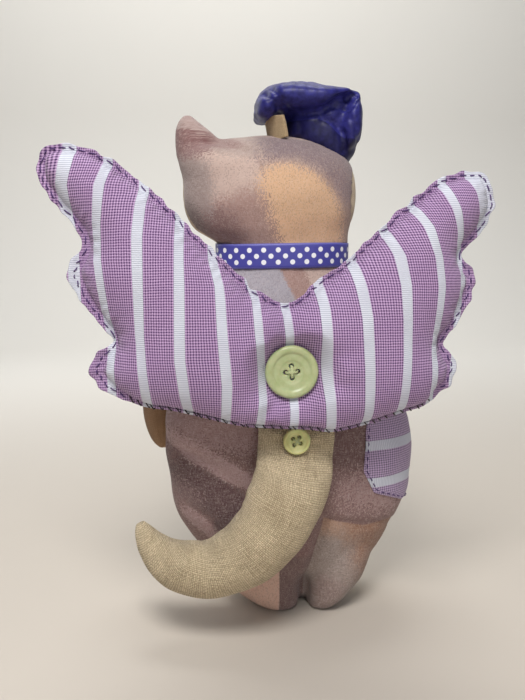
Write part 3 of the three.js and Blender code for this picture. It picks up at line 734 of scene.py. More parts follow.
def addFace():
    r = face["eyeRadius"]
    dome = [(r * 1.06, -0.6), (r * 1.12, 0), (r * 1.02, 0.35), (r * 0.97, 0.5), (r * 0.85, 1.4),
            (r * 0.6, 2.1), (r * 0.3, 2.45), (r * 0.08, 2.5)]
    for side, (x, z) in zip(("left", "right"), face["eyes"]):
        points, faces = turned(dome)
        points = points + (x, frontOf(x, z) - 0.15, z)
        addPiece(f"eyeBead_{side}", points, faces, "eyeBead", "doll", (f"eye_{side}",))
    x0, z0 = face["nose"]
    strands = []
    for k in range(11):
        up = 2.4 - k * 0.48
        half = 3.9 * math.sqrt(max(0.05, 1 - (k / 11) ** 1.6))
        strands.append([(x0 + half * s, frontOf(x0 + half * s, z0 + up) + 0.35 + 0.7 * (1 - s * s), z0 + up)
                        for s in (-1, -0.5, 0, 0.5, 1)])
    points, faces = capsules(strands, 0.33)
    addPiece("noseStitches", points, faces, "darkThread", "doll", ("nose",))
    smile = []
    for side in (-1, 1):
        curve = [(x0 + side * face["mouthWidth"] * t,
                  z0 - 3.2 - 7.2 * math.sin(min(1, t * 1.35) * math.pi / 2) + 2.4 * t * t)
                 for t in np.linspace(0, 1, 9)]
        for a, b in zip(curve[:-1], curve[1:]):
            smile.append([(a[0], frontOf(*a) + 0.2, a[1]), (b[0], frontOf(*b) + 0.2, b[1])])
    points, faces = capsules(smile, 0.36)
    addPiece("mouthStitches", points, faces, "darkThread", "doll", ("mouth_stitch",))


def eyeFinish():
    dye = Dye("eyeBead")
    x, y, z = dye.spot()
    haze = dye.cloud(dye.vector(x, y, z), 1.5, 2)
    colour = dye.mix(haze, sRgb(18, 12, 12), sRgb(44, 30, 26))
    return dye.finish(colour, 0.08 + haze * 0.06, haze, 0.02, 0.2,
                      {"Coat Weight": 0.6, "Coat Roughness": 0.05})


finishes["eyeBead"] = eyeFinish()
addFace()
print("face stitched")


wings = {
    "plane": -51, "flange": 3.0, "bulgeBack": 13.8, "bulgeFront": 15.5, "grid": 1.8,
    "pressure": 5.5, "slack": 0.045, "frames": 30, "tight": 0.8,
    "stitch": 4.4, "stitchRadius": 0.3, "oversewn": 3.6,
    # lobes where the stuffing ends well inside the edge: x, z, reach, extra width
    "wide": [(-101, 176, 17, 3.2), (-92, 132, 15, 3.8), (84, 168, 13, 1.5), (78, 132, 12, 1.6)],
    "edge": [
        (-1.6, 164.1), (-16.4, 170.1), (-22.3, 175.8), (-36.9, 189.1), (-51.4, 203.9), (-65.7, 216.8),
        (-81.1, 227.7), (-92.3, 231), (-101, 231.4), (-106.1, 228.6), (-107.8, 224.5), (-107.7, 215.6),
        (-99.8, 204.6), (-92.7, 195.7), (-90.9, 188), (-95.6, 182.1), (-97.4, 175.7),
        (-94.5, 169.8), (-87.3, 159.6), (-80.4, 150.2), (-78.5, 147), (-85.4, 142.6), (-89, 135.9),
        (-87.7, 130.4), (-80.4, 124.2), (-65.7, 118.4), (-53.8, 116.5), (-41.6, 113.5),
        (-23.3, 108.9), (-8.5, 107.4), (7.3, 106.6), (19.9, 105.2), (36.7, 108.9), (51.4, 113.6),
        (61.2, 116.5), (67.9, 121.6), (74.1, 127.4), (75.6, 136.7), (69.2, 145.6), (75, 153),
        (81.8, 166.6), (83.6, 174), (80.6, 179.8), (76.7, 184.7), (85.1, 195.2), (89.7, 202.4),
        (91, 209.7), (88.1, 216.8), (85.7, 221.1), (78.7, 221.5), (70.3, 220.1), (63.6, 217.2),
        (51.5, 207.7), (40, 197.4), (25.5, 183.5), (11.2, 173.6)],
    # each white stripe from its top down, as height then place across, and its number from the middle
    "stripes": {
        -6: [(232, -124), (180, -121)],
        -5: [(229, -93.5), (214, -97), (202, -95.5), (191, -93), (170, -93), (130, -93)],
        -4: [(223, -78.5), (214, -82), (198, -84), (183, -84), (160, -81), (148, -78.5), (136, -79.5)],
        -3: [(212, -63.5), (206, -65), (193, -66.5), (151, -66.5), (135, -65.5), (120, -64)],
        -2: [(200, -48.5), (188, -49), (140, -49.5), (124, -47.5), (117, -46)],
        -1: [(183, -35), (172, -32), (151, -31), (129, -29), (115, -29.5)],
        -0.1: [(173, -19), (166, -16), (151, -15), (136, -13.5), (122, -13), (111, -14)],
        0.75: [(164, -3.5), (147, -1), (122, 1), (110, 1)],
        1.6: [(173, 11.5), (162, 13.5), (146, 14.5), (131, 15.5), (119, 16.5), (109, 17.5)],
        2.5: [(184, 25.5), (172, 29), (158, 31.5), (143, 32.5), (116, 34)],
        3.4: [(197, 39.5), (185, 46), (172, 48.5), (157, 49.5), (142, 50), (117, 49.5)],
        4.3: [(208, 51), (197, 59), (184, 63.5), (171, 65), (156, 64.5), (142, 63.5), (123, 64)],
        5.2: [(215, 66.5), (205, 71), (194, 74), (175, 76), (163, 75.5), (130, 74)],
        6.1: [(219, 78), (212, 82), (202, 84), (160, 88)],
    },
}


def insetLoop(loop, distance):
    ahead, behind = np.roll(loop, -1, 0), np.roll(loop, 1, 0)
    along = ahead - behind
    along /= np.linalg.norm(along, axis=1)[:, None]
    return loop + distance * np.stack([-along[:, 1], along[:, 0]], 1)


def stripePlace(spots, down):
    # place on the flat striped cloth, for spots of (x, z); down is the place along the stripes
    lines = []
    for rows in wings["stripes"].values():
        heights, across = np.array(rows[::-1], float).T
        lines.append(np.interp(spots[:, 1], heights, across))
    lines = np.array(lines)
    steps = (np.arange(len(lines)) - 7) * wingCloth["repeat"]
    return np.stack([[np.interp(x, lines[:, k], steps) for k, x in enumerate(spots[:, 0])], down], 1)


def flangeWidth(loop):
    # 3 mm all round, wider at some lobes, narrower along the bottom
    w = wings
    wide = np.full(len(loop), w["flange"])
    for x, z, reach, extra in w["wide"]:
        wide += extra * np.exp(-((loop[:, 0] - x) ** 2 + (loop[:, 1] - z) ** 2) / reach ** 2)
    return wide * (1 - turnedUnder(loop)) + 1.3 * turnedUnder(loop)


def turnedUnder(loop):
    x, z = loop[:, 0], loop[:, 1]
    low = np.clip((124 - z) / 6, 0, 1)
    return low * np.clip((x + 80) / 10, 0, 1) * np.clip((72 - x) / 8, 0, 1)


def relaxed(points, faces, amount, rounds):
    # evens a surface out; amount is how much of it at each point
    ends = np.array([(a, b) for f in faces for a, b in zip(f, (*f[1:], f[0]))])
    ends = np.vstack([ends, ends[:, ::-1]])
    count = np.bincount(ends[:, 0], minlength=len(points))[:, None]
    for _ in range(rounds):
        mean = np.stack([np.bincount(ends[:, 0], points[ends[:, 1], k], len(points)) for k in range(3)], 1)
        points = points + (mean / np.maximum(count, 1) - points) * amount[:, None] * 0.6
    return points


def sewWings():
    w = wings
    edge = evenly(spline(w["edge"], 900, True), 1.5, True)
    area = np.sum(edge[:, 0] * np.roll(edge[:, 1], -1) - edge[:, 1] * np.roll(edge[:, 0], -1))
    inward = 1 if area > 0 else -1
    seam = edge.copy()
    for _ in range(8):  # in small steps, so the loop doesn't cross itself in the notches
        seam = insetLoop(seam, (inward * flangeWidth(seam) / 8)[:, None])
        seam = seam * 0.7 + (np.roll(seam, 1, 0) + np.roll(seam, -1, 0)) * 0.15
    seam = evenly(seam, 1.6, True)
    g = w["grid"]
    spots = np.array([(x + (row % 2) * g / 2, z) for row, z in enumerate(np.arange(100, 236, g * 0.866))
                      for x in np.arange(-112, 96, g)])
    inside = np.array([p for p in spots if np.hypot(*(seam - p).T).min() > g * 0.55])
    loop = [(i, (i + 1) % len(seam)) for i in range(len(seam))]
    verts, _, tris, _, _, _ = geometry.delaunay_2d_cdt([Vector(p) for p in np.vstack([seam, inside])], loop,
                                                       [], 1, 1e-4)
    flat = np.array([tuple(v) for v in verts])
    used = sorted({k for t in tris for k in t})
    renumber = {k: i for i, k in enumerate(used)}
    tris = [tuple(renumber[k] for k in t) for t in tris]
    flat = flat[used]
    reach = np.array([np.hypot(*(seam - p).T).min() for p in flat])
    onRim = reach < 1e-3
    n = len(flat)
    free = [k for k in range(n) if not onRim[k]]
    second = {k: k for k in range(n)}
    second.update({k: n + i for i, k in enumerate(free)})
    frontTris = [tuple(second[k] for k in reversed(t)) for t in tris]
    flatAll, reach = np.vstack([flat, flat[free]]), np.concatenate([reach, reach[free]])
    side = np.concatenate([np.full(n, -1.0), np.full(len(free), 1.0)])
    fromButton = np.hypot(flatAll[:, 0], flatAll[:, 1] - 133.3)
    depth = np.where(reach < 1e-3, 0, side * 0.8)
    held = fromButton < 8.5  # the big button holds both cloths together
    depth[held & (side < 0)] = 0.2
    depth[held & (side > 0)] = 4.5
    pins = {i: 1.0 for i in np.nonzero(held)[0]}
    pins.update({i: 0.985 for i in np.nonzero(reach < 1e-3)[0]})
    points = clothRun(np.stack([flatAll[:, 0], depth, flatAll[:, 1]], 1), tris + frontTris, pins,
                      w["pressure"], w["slack"], w["frames"])
    back, front = -points[:, 1].min(), points[:, 1].max()
    points[:, 1] = np.where(points[:, 1] < 0, points[:, 1] * w["bulgeBack"] / back,
                            points[:, 1] * w["bulgeFront"] / front)
    # packed tight, the cloth stands up steeply from the seam and levels out further in
    full = 1 - np.clip(reach / 26, 0, 1)
    packed = side * np.sqrt(1 - full ** 2) * np.where(side < 0, w["bulgeBack"], w["bulgeFront"])
    tight = w["tight"] * np.clip((fromButton - 9) / 16, 0, 1)
    points[:, 1] += (packed - points[:, 1]) * tight
    calm = np.clip((reach - 1) / 6, 0, 1) * np.clip((fromButton - 11) / 14, 0, 1)
    points = relaxed(points, tris + frontTris, calm, 12)
    # gathers at the seam, pulled in by each stitch, and folds that run in to the button
    along = np.concatenate([[0], np.cumsum(np.hypot(*np.diff(seam, axis=0).T))])
    station = np.array([along[int(np.argmin(np.hypot(*(seam - p).T)))] for p in flatAll])
    uneven = np.array([noise.noise(Vector((s / 17, 5.5, 0))) for s in station])
    gather = np.cos(station * 2 * math.pi / w["stitch"] + uneven * 3) * np.exp(-((reach - 2.6) / 2.6) ** 2)
    rays = np.arctan2(flatAll[:, 1] - 133.3, flatAll[:, 0])
    folds = np.sin(rays * 7 + 0.6 + 1.4 * np.sin(rays * 3)) * np.exp(-((fromButton - 17) / 11) ** 2)
    lift = gather * (0.7 + uneven * 0.5) + folds * 1.3
    points[:, 1] += side * lift * (reach > 1e-3)
    # pressed flat under the button, so none of the cloth comes over its rim
    allowed = 0.1 + 14 * np.sin(math.pi / 2 * np.clip((fromButton - 12.4) / 15, 0, 1))
    points[:, 1] = np.where(side < 0, np.maximum(points[:, 1], -allowed), points[:, 1])
    points[:, 1] += w["plane"]
    place = stripePlace(points[:, [0, 2]], flatAll[:, 1])
    for name, half, stands in (("wingBackCloth", tris, ("wing_back_panel", "wing_fill")),
                               ("wingFrontCloth", frontTris, ("wing_front_panel",))):
        ids = sorted({k for t in half for k in t})
        small = {k: i for i, k in enumerate(ids)}
        thing = addPiece(name, points[ids], [tuple(small[k] for k in t) for t in half], "stripe", "wings",
                         stands, place[ids])
        subdivide(thing)
    addFlange(edge, seam)
    print("wings swelled to", round(back, 1), "and", round(front, 1))


def addFlange(edge, seam):
    # the flat edge outside the seam, with the hand stitches that close it
    w = wings
    m = len(edge)
    nearest = [int(np.argmin(np.hypot(*(seam - p).T))) for p in edge]
    inner = seam[nearest] + (seam[nearest] - edge) * 0.12
    along = np.concatenate([[0], np.cumsum(np.linalg.norm(np.diff(edge, axis=0), axis=1))])
    under = turnedUnder(edge)
    flutter = np.array([noise.noise(Vector((s / 6, 3.3, 0))) for s in along]) * 2.2 * (1 - under)
    ragged = np.array([noise.noise(Vector((s / 5, 8.1, 0))) for s in along]) * 1.7
    outward = (edge - inner) / np.maximum(np.linalg.norm(edge - inner, axis=1), 0.3)[:, None]
    edge = edge + outward * (ragged * (1 - under))[:, None]
    phase = (along / w["stitch"]) % 1
    pinch = np.exp(-((phase - 0.5) / 0.22) ** 2)
    rows = []
    for t, thick in ((0, 0.6), (0.35, 0.55), (0.62, 0.42), (0.85, 0.6), (1, 0.45)):
        flat = inner + (edge - inner) * t
        fold = under * t * 1.2
        squeeze = 1 - 0.35 * pinch * (abs(t - 0.5) < 0.3)
        rows.append((flat, flutter * t ** 1.5 + fold, thick * squeeze, stripePlace(flat, flat[:, 1] - fold)))
    points, flats = [], []
    for sign, group in ((-1, rows), (1, rows[::-1])):
        for flat, wave, thick, place in group:
            up = sign * under * thick * 0.8
            points.append(np.stack([flat[:, 0], w["plane"] + wave + sign * thick * (1 - under * 0.8),
                                    flat[:, 1] + up], 1))
            flats.append(place)
    thing = addPiece("wingEdgeCloth", np.vstack(points), gridFaces(len(points), m), "stripe", "wings", (),
                     np.vstack(flats))
    subdivide(thing)
    middle = inner + (edge - inner) * 0.5
    paths = []
    for sign, start in ((-1, 0.0), (1, 0.5)):
        for s in np.arange(start * w["stitch"], along[-1], w["stitch"]):
            if np.interp(s, along, under) > 0.3:
                continue
            slant = 0.7 * noise.noise(Vector((s * 1.7, sign, 0.5))) + 0.2
            tip = min(s + w["stitch"] * (0.66 + 0.2 * noise.noise(Vector((s * 2.3, sign, 4)))), along[-1])
            stops = np.linspace(s, tip, 4)
            spots = np.stack([np.interp(stops, along, v) for v in (*middle.T, *outward.T, flutter)], 1)
            path = []
            for (x, z, ox, oz, f), arch, turn in zip(spots, (0.35, 0.75, 0.75, 0.35), (-1, -0.33, 0.33, 1)):
                path.append((x + ox * turn * slant, w["plane"] + f * 0.4 + sign * arch,
                             z + oz * turn * slant))
            paths.append(path)
    points, faces = capsules(paths, w["stitchRadius"])
    addPiece("wingStitches", points, faces, "purpleThread", "wings", ())
    # the bottom is oversewn with thread in the dark colour, which also stands in for the shade along the
    # wing's lower edge: partly real thread, partly painted shade
    paths = []
    for s in np.arange(0, along[-1], w["oversewn"]):
        if np.interp(s, along, under) > 0.5:
            x, z, low, f = (np.interp(s, along, v) for v in (inner[:, 0], inner[:, 1], edge[:, 1], flutter))
            lean = 0.9 + 0.5 * noise.noise(Vector((s, 2, 7)))
            paths.append([(x + ax * lean, w["plane"] + f * 0.4 + ay, az) for ax, ay, az in (
                (-1.7, -0.6, z + 0.5), (-0.8, -0.9, (z + low) / 2), (0, -0.7, low - 0.1),
                (0.3, 0.7, low - 0.1), (0.5, 1, (z + low) / 2))])
    points, faces = capsules(paths, w["stitchRadius"])
    addPiece("wingHemStitches", points, faces, "darkThread", "wings", ())


sewWings()
print("wings stuffed and stitched")


tail = {
    "face": -30.9, "rings": 130, "sides": 72,
    # x, z, half width, half depth
    "line": [
        (3.8, 108.8, 11, 2.2), (4.2, 106.4, 17.4, 3.4), (4.5, 99, 18.4, 4.4), (4.2, 92.6, 18.4, 4.8),
        (3.2, 86, 18.3, 9.4), (1.2, 79, 18, 13.2), (-3, 70, 17.5, 15), (-9, 59, 16.9, 15.6),
        (-20, 47.3, 15.6, 15.2), (-35, 39.8, 13.6, 13.4), (-48.5, 40.2, 12.3, 12.1),
        (-57.5, 43.8, 10.2, 10), (-63.8, 49.3, 7.6, 7.4), (-68, 55.2, 4.6, 4.5),
        (-69.8, 58.6, 2.2, 2.2)],
    "button": (3.9, 99.0),
}
arms = {
    "rings": 80, "sides": 48, "lean": 28, "mirror": 6.2, "shoulder": (-47.6, 12, 158),
    # x, y, z, radius
    "line": [
        (-46.6, 12, 168.5, 3), (-46.9, 12, 165, 6.6), (-47.6, 12, 158, 8.6), (-55, 14, 138, 9.1),
        (-60.5, 17, 118, 8.9), (-62.6, 20, 103, 8.0), (-61.8, 22, 92, 6.9), (-60.6, 23, 84.5, 4.7),
        (-60.2, 23.2, 81, 2.0)],
}


def tube(stations, rings, sides):
    # rows of x, y, z, half width, half depth swept with depth along Y; returns points, angle, length along
    rows = spline(stations, rings * 6)
    rows = evenly(rows, np.linalg.norm(np.diff(rows, axis=0), axis=1).sum() / (rings - 1))
    spots = rows[:, :3]
    along = np.gradient(spots, axis=0)
    along /= np.linalg.norm(along, axis=1)[:, None]
    across = np.cross(along, (0, 1, 0))
    across /= np.linalg.norm(across, axis=1)[:, None]
    t = np.arange(sides) * 2 * math.pi / sides
    points = (spots[:, None] + across[:, None] * (rows[:, 3, None] * np.cos(t))[..., None]
              + np.array([0, 1, 0]) * (rows[:, 4, None] * np.sin(t))[..., None])
    normal = across[:, None] * np.cos(t)[None, :, None] + np.array([0, 1, 0]) * np.sin(t)[None, :, None]
    length = np.concatenate([[0], np.cumsum(np.linalg.norm(np.diff(spots, axis=0), axis=1))])
    points, normal = points.reshape(-1, 3), normal.reshape(-1, 3)
    return points, normal, np.tile(t, len(rows)), np.repeat(length, sides), len(rows)


def sleevePlace(points, rows, sides, length):
    # distance round the sleeve from its lower edge, mirrored so that the cloth meets itself at the seams
    grid = points.reshape(rows, sides, 3)
    step = np.linalg.norm(grid - np.roll(grid, 1, 1), axis=2)
    around = np.cumsum(step, 1)
    total = around[:, -1:]
    around = np.minimum(around, total - around)
    return np.stack([length, around.ravel()], 1)


def addTail():
    stations = [(x, tail["face"] - d, z, w, d) for x, z, w, d in tail["line"]]
    points, normals, turn, length, rows = tube(stations, tail["rings"], tail["sides"])
    place = sleevePlace(points, rows, tail["sides"], length)
    bx, bz = tail["button"]
    off = np.hypot(points[:, 0] - bx, points[:, 2] - bz)
    rays = np.arctan2(points[:, 2] - bz, points[:, 0] - bx)
    outer = points[:, 1] < tail["face"] - 3
    pucker = np.sin(rays * 9 + 0.7) * np.exp(-((off - 8) / 5) ** 2) * 0.7 * outer
    press = -1.2 * np.exp(-(off / 6.5) ** 4) * outer
    seam = np.exp(-(np.sin(turn) * 9) ** 2) * (0.6 + 0.4 * np.sin(length * 1.1))
    # the inside of the curl crumples a little
    inside = -np.sin(length * 0.55 + 2 * np.sin(length * 0.13)) * np.clip(-np.cos(turn), 0, 1) ** 3 * 0.16
    inside *= np.clip((length - 25) / 15, 0, 1) * np.clip((105 - length) / 15, 0, 1)
    bumps = lumps(points, 16, 2) * 0.6 + lumps(points, 5, 3) * 0.1
    change = pucker + press - seam * 0.7 + inside + bumps * np.clip(off / 10, 0, 1)
    points = points + normals * change[:, None]
    points[:, 1] = np.minimum(points[:, 1], tail["face"] + 0.3)
    faces = gridFaces(rows, tail["sides"])
    points, faces = capped(points, faces, rows, tail["sides"])
    place = np.vstack([place, place[:1], place[-1:]])
    thing = addPiece("tailCloth", points, faces, "linen", "tail", ("tail_skin", "tail_fill"), place)
    subdivide(thing)


def addArm(side):
    a = arms
    stations = [(x, y, z, r, r) for x, y, z, r in a["line"]]
    points, normals, turn, length, rows = tube(stations, a["rings"], a["sides"])
    place = sleevePlace(points, rows, a["sides"], length)
    sx, sy, sz = a["shoulder"]
    off = np.hypot(points[:, 1] - sy, points[:, 2] - sz)
    rays = np.arctan2(points[:, 2] - sz, points[:, 1] - sy)
    outer = points[:, 0] < sx
    pucker = np.sin(rays * 7) * np.exp(-((off - 6) / 3.5) ** 2) * 0.5
    press = -1.3 * np.exp(-(off / 5) ** 4) * outer
    seam = np.exp(-(np.cos(turn) * 9) ** 2) * (0.6 + 0.4 * np.sin(length * 1.2))
    change = pucker + press - seam * 0.5 + lumps(points, 12, 4) * 0.6
    points = points + normals * change[:, None]
    faces = gridFaces(rows, a["sides"])
    points, faces = capped(points, faces, rows, a["sides"])
    place = np.vstack([place, place[:1], place[-1:]])
    # three claw stitches on the paw
    paw = []
    for k in (-1, 0, 1):
        paw.append([(-60.8 + k * 2.5, 22.6 + h - 0.8 * abs(k), 88.4 - 2.2 * s) for s, h in
                    ((0, 5.7), (0.8, 5.4), (1.6, 4.7), (2.2, 3.8))])
    stitches, stitchFaces = capsules(paw, 0.3)
    if side == "right":
        points, stitches = (leaned(p) for p in (points, stitches))
    thing = addPiece(f"armCloth_{side}", points, faces, "armCloth", f"arm_{side}",
                     (f"arm_{side}_skin", f"arm_{side}_fill"), place)
    subdivide(thing)
    addPiece(f"pawStitches_{side}", stitches, stitchFaces, "darkThread", f"arm_{side}", ())


def leaned(points):
    # the left arm's points carried over to the right arm, which is raised forward
    _, sy, sz = arms["shoulder"]
    t = math.radians(arms["lean"])
    y, z = points[:, 1] - sy, points[:, 2] - sz
    return np.stack([arms["mirror"] - points[:, 0], sy + y * math.cos(t) - z * math.sin(t),
                     sz + y * math.sin(t) + z * math.cos(t)], 1)


# the arm linen is darker and browner than the other linen: partly the cloth's own brown, partly painted
# shade
finishes["armCloth"] = linenFinish("armLinenBrownAndShade", sRgb(182, 148, 116), sRgb(120, 90, 66), 0.55, 0.18)
addTail()
addArm("left")
addArm("right")
print("tail and arms stuffed")


buttons = {
    "wing": {"radius": 12, "thick": 3.5, "hole": 1.1, "reach": 2.75, "turn": 4, "count": 4,
             "sewn": [(0, 2), (1, 3)], "strand": 0.27, "look": "bigButton", "slot": "green_button"},
    "tail": {"radius": 6.45, "thick": 2.5, "hole": 0.92, "reach": 2.2, "turn": 57, "count": 4,
             "sewn": [(0, 1), (2, 3)], "strand": 0.17, "look": "smallButton", "slot": "lime_button"},
    "arm": {"radius": 5.0, "thick": 2.2, "hole": 0.7, "reach": 1.5, "turn": 90, "count": 2,
            "sewn": [(0, 1)], "strand": 0.2, "look": "smallButton", "slot": "lime_button"},
}


def holedDisc(radius, holes, rings):
    # flat triangles in a disc with round holes; returns points, triangles, and which loop each point is on
    spots, loops, owner = [], [], []

    def addLoop(x, z, r, count, kind):
        start = len(spots)
        t = np.arange(count) * 2 * math.pi / count
        spots.extend(zip(x + r * np.cos(t), z + r * np.sin(t)))
        owner.extend([kind] * count)
        loops.extend((start + k, start + (k + 1) % count) for k in range(count))

    addLoop(0, 0, radius, 96, 0)
    for k, (x, z, r) in enumerate(holes):
        addLoop(x, z, r, 20, k + 1)
        addLoop(x, z, r * 1.18, 20, -1)
    for r in rings:
        count = max(16, int(r * 9))
        t = np.arange(count) * 2 * math.pi / count
        for x, z in zip(r * np.cos(t), r * np.sin(t)):
            if all(math.hypot(x - a, z - b) > c * 1.45 for a, b, c in holes):
                spots.append((x, z))
                owner.append(-1)
    verts, _, tris, _, _, _ = geometry.delaunay_2d_cdt([Vector(p) for p in spots], loops, [], 1, 1e-5)
    points = np.array([tuple(v) for v in verts])
    keep = []
    for t in tris:
        x, z = points[list(t)].mean(0)
        if all(math.hypot(x - a, z - b) > c for a, b, c in holes):
            keep.append(tuple(t))
    return points, keep, np.array(owner)


def buttonShape(b):
    # height rows from the middle out, as parts of the radius and thickness
    front = [(0, 0.56), (0.3, 0.57), (0.4, 0.6), (0.44, 0.68), (0.48, 0.71), (0.66, 0.74), (0.7, 0.79),
             (0.735, 0.9), (0.78, 0.96), (0.85, 1), (0.92, 0.97), (0.96, 0.88), (0.985, 0.76), (1, 0.55)]
    base = [(0, 0), (0.8, 0), (0.92, 0.08), (0.975, 0.24), (1, 0.55)]
    r, thick = b["radius"], b["thick"]
    angles = [math.radians(b["turn"] + 360 / b["count"] * k) for k in range(b["count"])]
    middles = [(b["reach"] * math.cos(t), b["reach"] * math.sin(t)) for t in angles]
    holes = [(x, z, b["hole"]) for x, z in middles]
    rings = r * np.array([0.1, 0.2, 0.3, 0.38, 0.41, 0.44, 0.48, 0.54, 0.6, 0.66, 0.69, 0.715, 0.74, 0.78,
                          0.82, 0.86, 0.9, 0.93, 0.955, 0.97, 0.985, 0.995])
    flat, tris, owner = holedDisc(r, holes, rings)
    out = np.hypot(*flat.T) / r
    top = -np.interp(out, *np.array(front).T) * thick + np.where(owner > 0, 0.22, 0)
    low = -np.interp(out, *np.array(base).T) * thick
    low = np.where(owner == 0, top, low)
    n = len(flat)
    points = np.vstack([np.stack([flat[:, 0], side, flat[:, 1]], 1) for side in (top, low)])
    same = {k: (k if owner[k] == 0 else n + k) for k in range(n)}
    faces = list(tris) + [tuple(same[k] for k in reversed(t)) for t in tris]
    for k in range(len(holes)):
        ring = np.nonzero(owner == k + 1)[0]
        for i, j in zip(ring, np.roll(ring, -1)):
            faces.append((i, j, n + j, n + i))
    return points, faces, middles


def addButton(kind, name, node, body, place):
    b = buttons[kind]
    points, faces, spots = buttonShape(b)
    addPiece(name, place(points), faces, b["look"], body, (node,))
    # two or three loose strands between facing holes, and the wrapped shank behind
    sunk = -b["thick"] * 0.57
    paths = []
    for i, j in b["sewn"]:
        for shift in (-0.26, 0.05, 0.3):
            (x1, z1), (x2, z2) = spots[i], spots[j]
            nx, nz = -(z2 - z1), x2 - x1
            size = math.hypot(nx, nz)
            nx, nz = nx / size * shift, nz / size * shift
            rise = sunk - 0.55 - 0.2 * abs(shift)
            paths.append([(x1 + nx, 0.4, z1 + nz), (x1 + nx, sunk + 0.5, z1 + nz),
                          (x1 * 0.8 + nx, rise, z1 * 0.8 + nz), (nx, rise - 0.12, nz),
                          (x2 * 0.8 + nx, rise, z2 * 0.8 + nz), (x2 + nx, sunk + 0.5, z2 + nz),
                          (x2 + nx, 0.4, z2 + nz)])
    coil = [(0.9 * math.cos(k * 0.7), 0.25 + k * 0.045, 0.9 * math.sin(k * 0.7)) for k in range(80)]
    paths.append(coil)
    strands, strandFaces = capsules(paths, b["strand"])
    addPiece(f"{name}Thread", place(strands), strandFaces, "paleThread", body, (f"{node}_thread",))


def onWings(points):
    return points + (0, -51.2, 133.3)


def onTail(points):
    return points + (3.9, -40.9, 99)


def onLeftArm(points):
    turnLeft = np.array([[0, 1, 0], [-1, 0, 0], [0, 0, 1]])
    return points @ turnLeft + (-59.4, 12, 158)


def onRightArm(points):
    return leaned(onLeftArm(points))


addButton("wing", "wingButton", "wing_button", "wings", onWings)
addButton("tail", "tailButton", "tail_button", "tail", onTail)
addButton("arm", "armButton_left", "arm_left_button", "arm_left", onLeftArm)
addButton("arm", "armButton_right", "arm_right_button", "arm_right", onRightArm)
print("buttons sewn on")


patch = {
    # angle round the body in degrees from its right side, and height
    "corners": [(-33, 108), (-35.5, 88), (-36.5, 79), (-30.5, 67.6), (-13, 60.4), (7, 58), (7, 108)],
    "lift": 0.75, "thick": 0.7, "grid": 1.6, "stitch": 3.6, "cut": (0.054, 0.056),
}


def onHip(turn, z, lift):
    t = math.radians(turn)
    out = Vector((math.cos(t), math.sin(t), 0))
    hit, normal, _, _ = bodySkin.ray_cast(Vector((4, 0, z)) + out * 95, -out)
    return np.array(hit) + np.array(normal) * lift


def addHipPatch():
    p = patch
    corners = np.array([(t * 1.02, z) for t, z in p["corners"]])
    loop = evenly(corners, 1.5, True)
    spots = [(x, z) for x in np.arange(-40, 10, p["grid"]) for z in np.arange(56, 110, p["grid"])]
    inside = [s for s in spots if np.hypot(*(loop - s).T).min() > 1.0]
    everything = np.vstack([loop, inside])
    rim = [(i, (i + 1) % len(loop)) for i in range(len(loop))]
    verts, _, tris, _, _, _ = geometry.delaunay_2d_cdt([Vector(v) for v in everything], rim, [], 1, 1e-4)
    flat = np.array([tuple(v) for v in verts])
    used = sorted({k for t in tris for k in t})
    small = {k: i for i, k in enumerate(used)}
    tris, flat = [tuple(small[k] for k in t) for t in tris], flat[used]
    toEdge = np.array([np.hypot(*(loop - s).T).min() for s in flat])
    puff = np.clip(toEdge / 4, 0, 1) ** 0.5 * 0.5
    wave = np.array([noise.noise(Vector((a / 5, z / 5, 1.7))) for a, z in flat]) * 0.35
    points = np.array([onHip(a, z, p["lift"] + u + w) for (a, z), u, w in zip(flat, puff, wave)])
    thing = addPiece("hipPatch", points, tris, "stripeAcross", "doll", ("hip_patch",),
                     np.stack([flat[:, 0] * 1.02, flat[:, 1] + 0.9], 1))
    wall = thing.modifiers.new("turnedEdge", "SOLIDIFY")
    wall.thickness, wall.offset = p["thick"] / 1000, -1
    subdivide(thing)
    spread = sum(np.linalg.norm(np.cross(points[b] - points[a], points[c] - points[a])) / 2
                 for a, b, c in tris)
    print("patch cloth", round(spread), "square mm")
    # hand stitches a little inside the edge
    line = insetLoop(evenly(corners, 0.5, True), 1.5)
    line = evenly(line, p["stitch"], True)
    paths = []
    for i, (a, z) in enumerate(line):
        b, zb = line[(i + 1) % len(line)]
        if z > 106 and zb > 106:
            continue
        ends = [(a + (b - a) * s, z + (zb - z) * s) for s in (0, 0.3, 0.55)]
        paths.append([onHip(t, h, lift) for (t, h), lift in zip(ends, (0.9, 1.5, 0.9))])
    points, faces = capsules(paths, 0.3)
    addPiece("patchStitches", points, faces, "purpleThread", "doll", ())


addHipPatch()
print("patch laid on the hip")


cap = {
    "voxel": 0.9, "wrinkle": 0.4,
    # the puffed roll of the crown, from its left end to the right: x, y, z, half height, half depth
    "roll": [
        (-11.3, 0, 251, 2.2, 12), (-9, 0, 252.8, 5.2, 17.5), (-6.4, 0, 255.6, 7.2, 20.5),
        (-2, 0, 258.6, 8.2, 22.5),
        (4, 0, 259.8, 8.2, 23.5), (12, 0, 259.6, 8.4, 24), (19, 0, 259.4, 7, 24), (26, 0, 261, 4.7, 21.5),
        (32, 0, 261.6, 2.9, 18), (37.4, 0, 262.3, 1.2, 11)],
    # the wall under it: height, left, right, depth behind, depth in front
    "wall": [
        (229, 27, 33, 8, 10), (233, 20, 36, 12.5, 14.5), (238, 10, 38, 14.5, 16.5), (242, 4.5, 39, 15, 17),
        (246, 3.5, 39, 15, 17), (250, 3, 38.6, 15.5, 17.5), (255, 3, 37.2, 16, 18), (259, 6, 36.3, 15, 17),
        (262, 14, 35.5, 11, 13)],
    # the corner of the crown that hangs down on the right
    "corner": [
        (37, -4, 261.8, 1.8, 10), (35.4, -4.5, 256.5, 4.4, 13), (33.4, -5, 250, 6.2, 14),
        (33, -5, 243.5, 6.6, 13.5),
        (31.4, -4.5, 238, 5, 12), (30.2, -4, 234, 2.2, 8)],
}


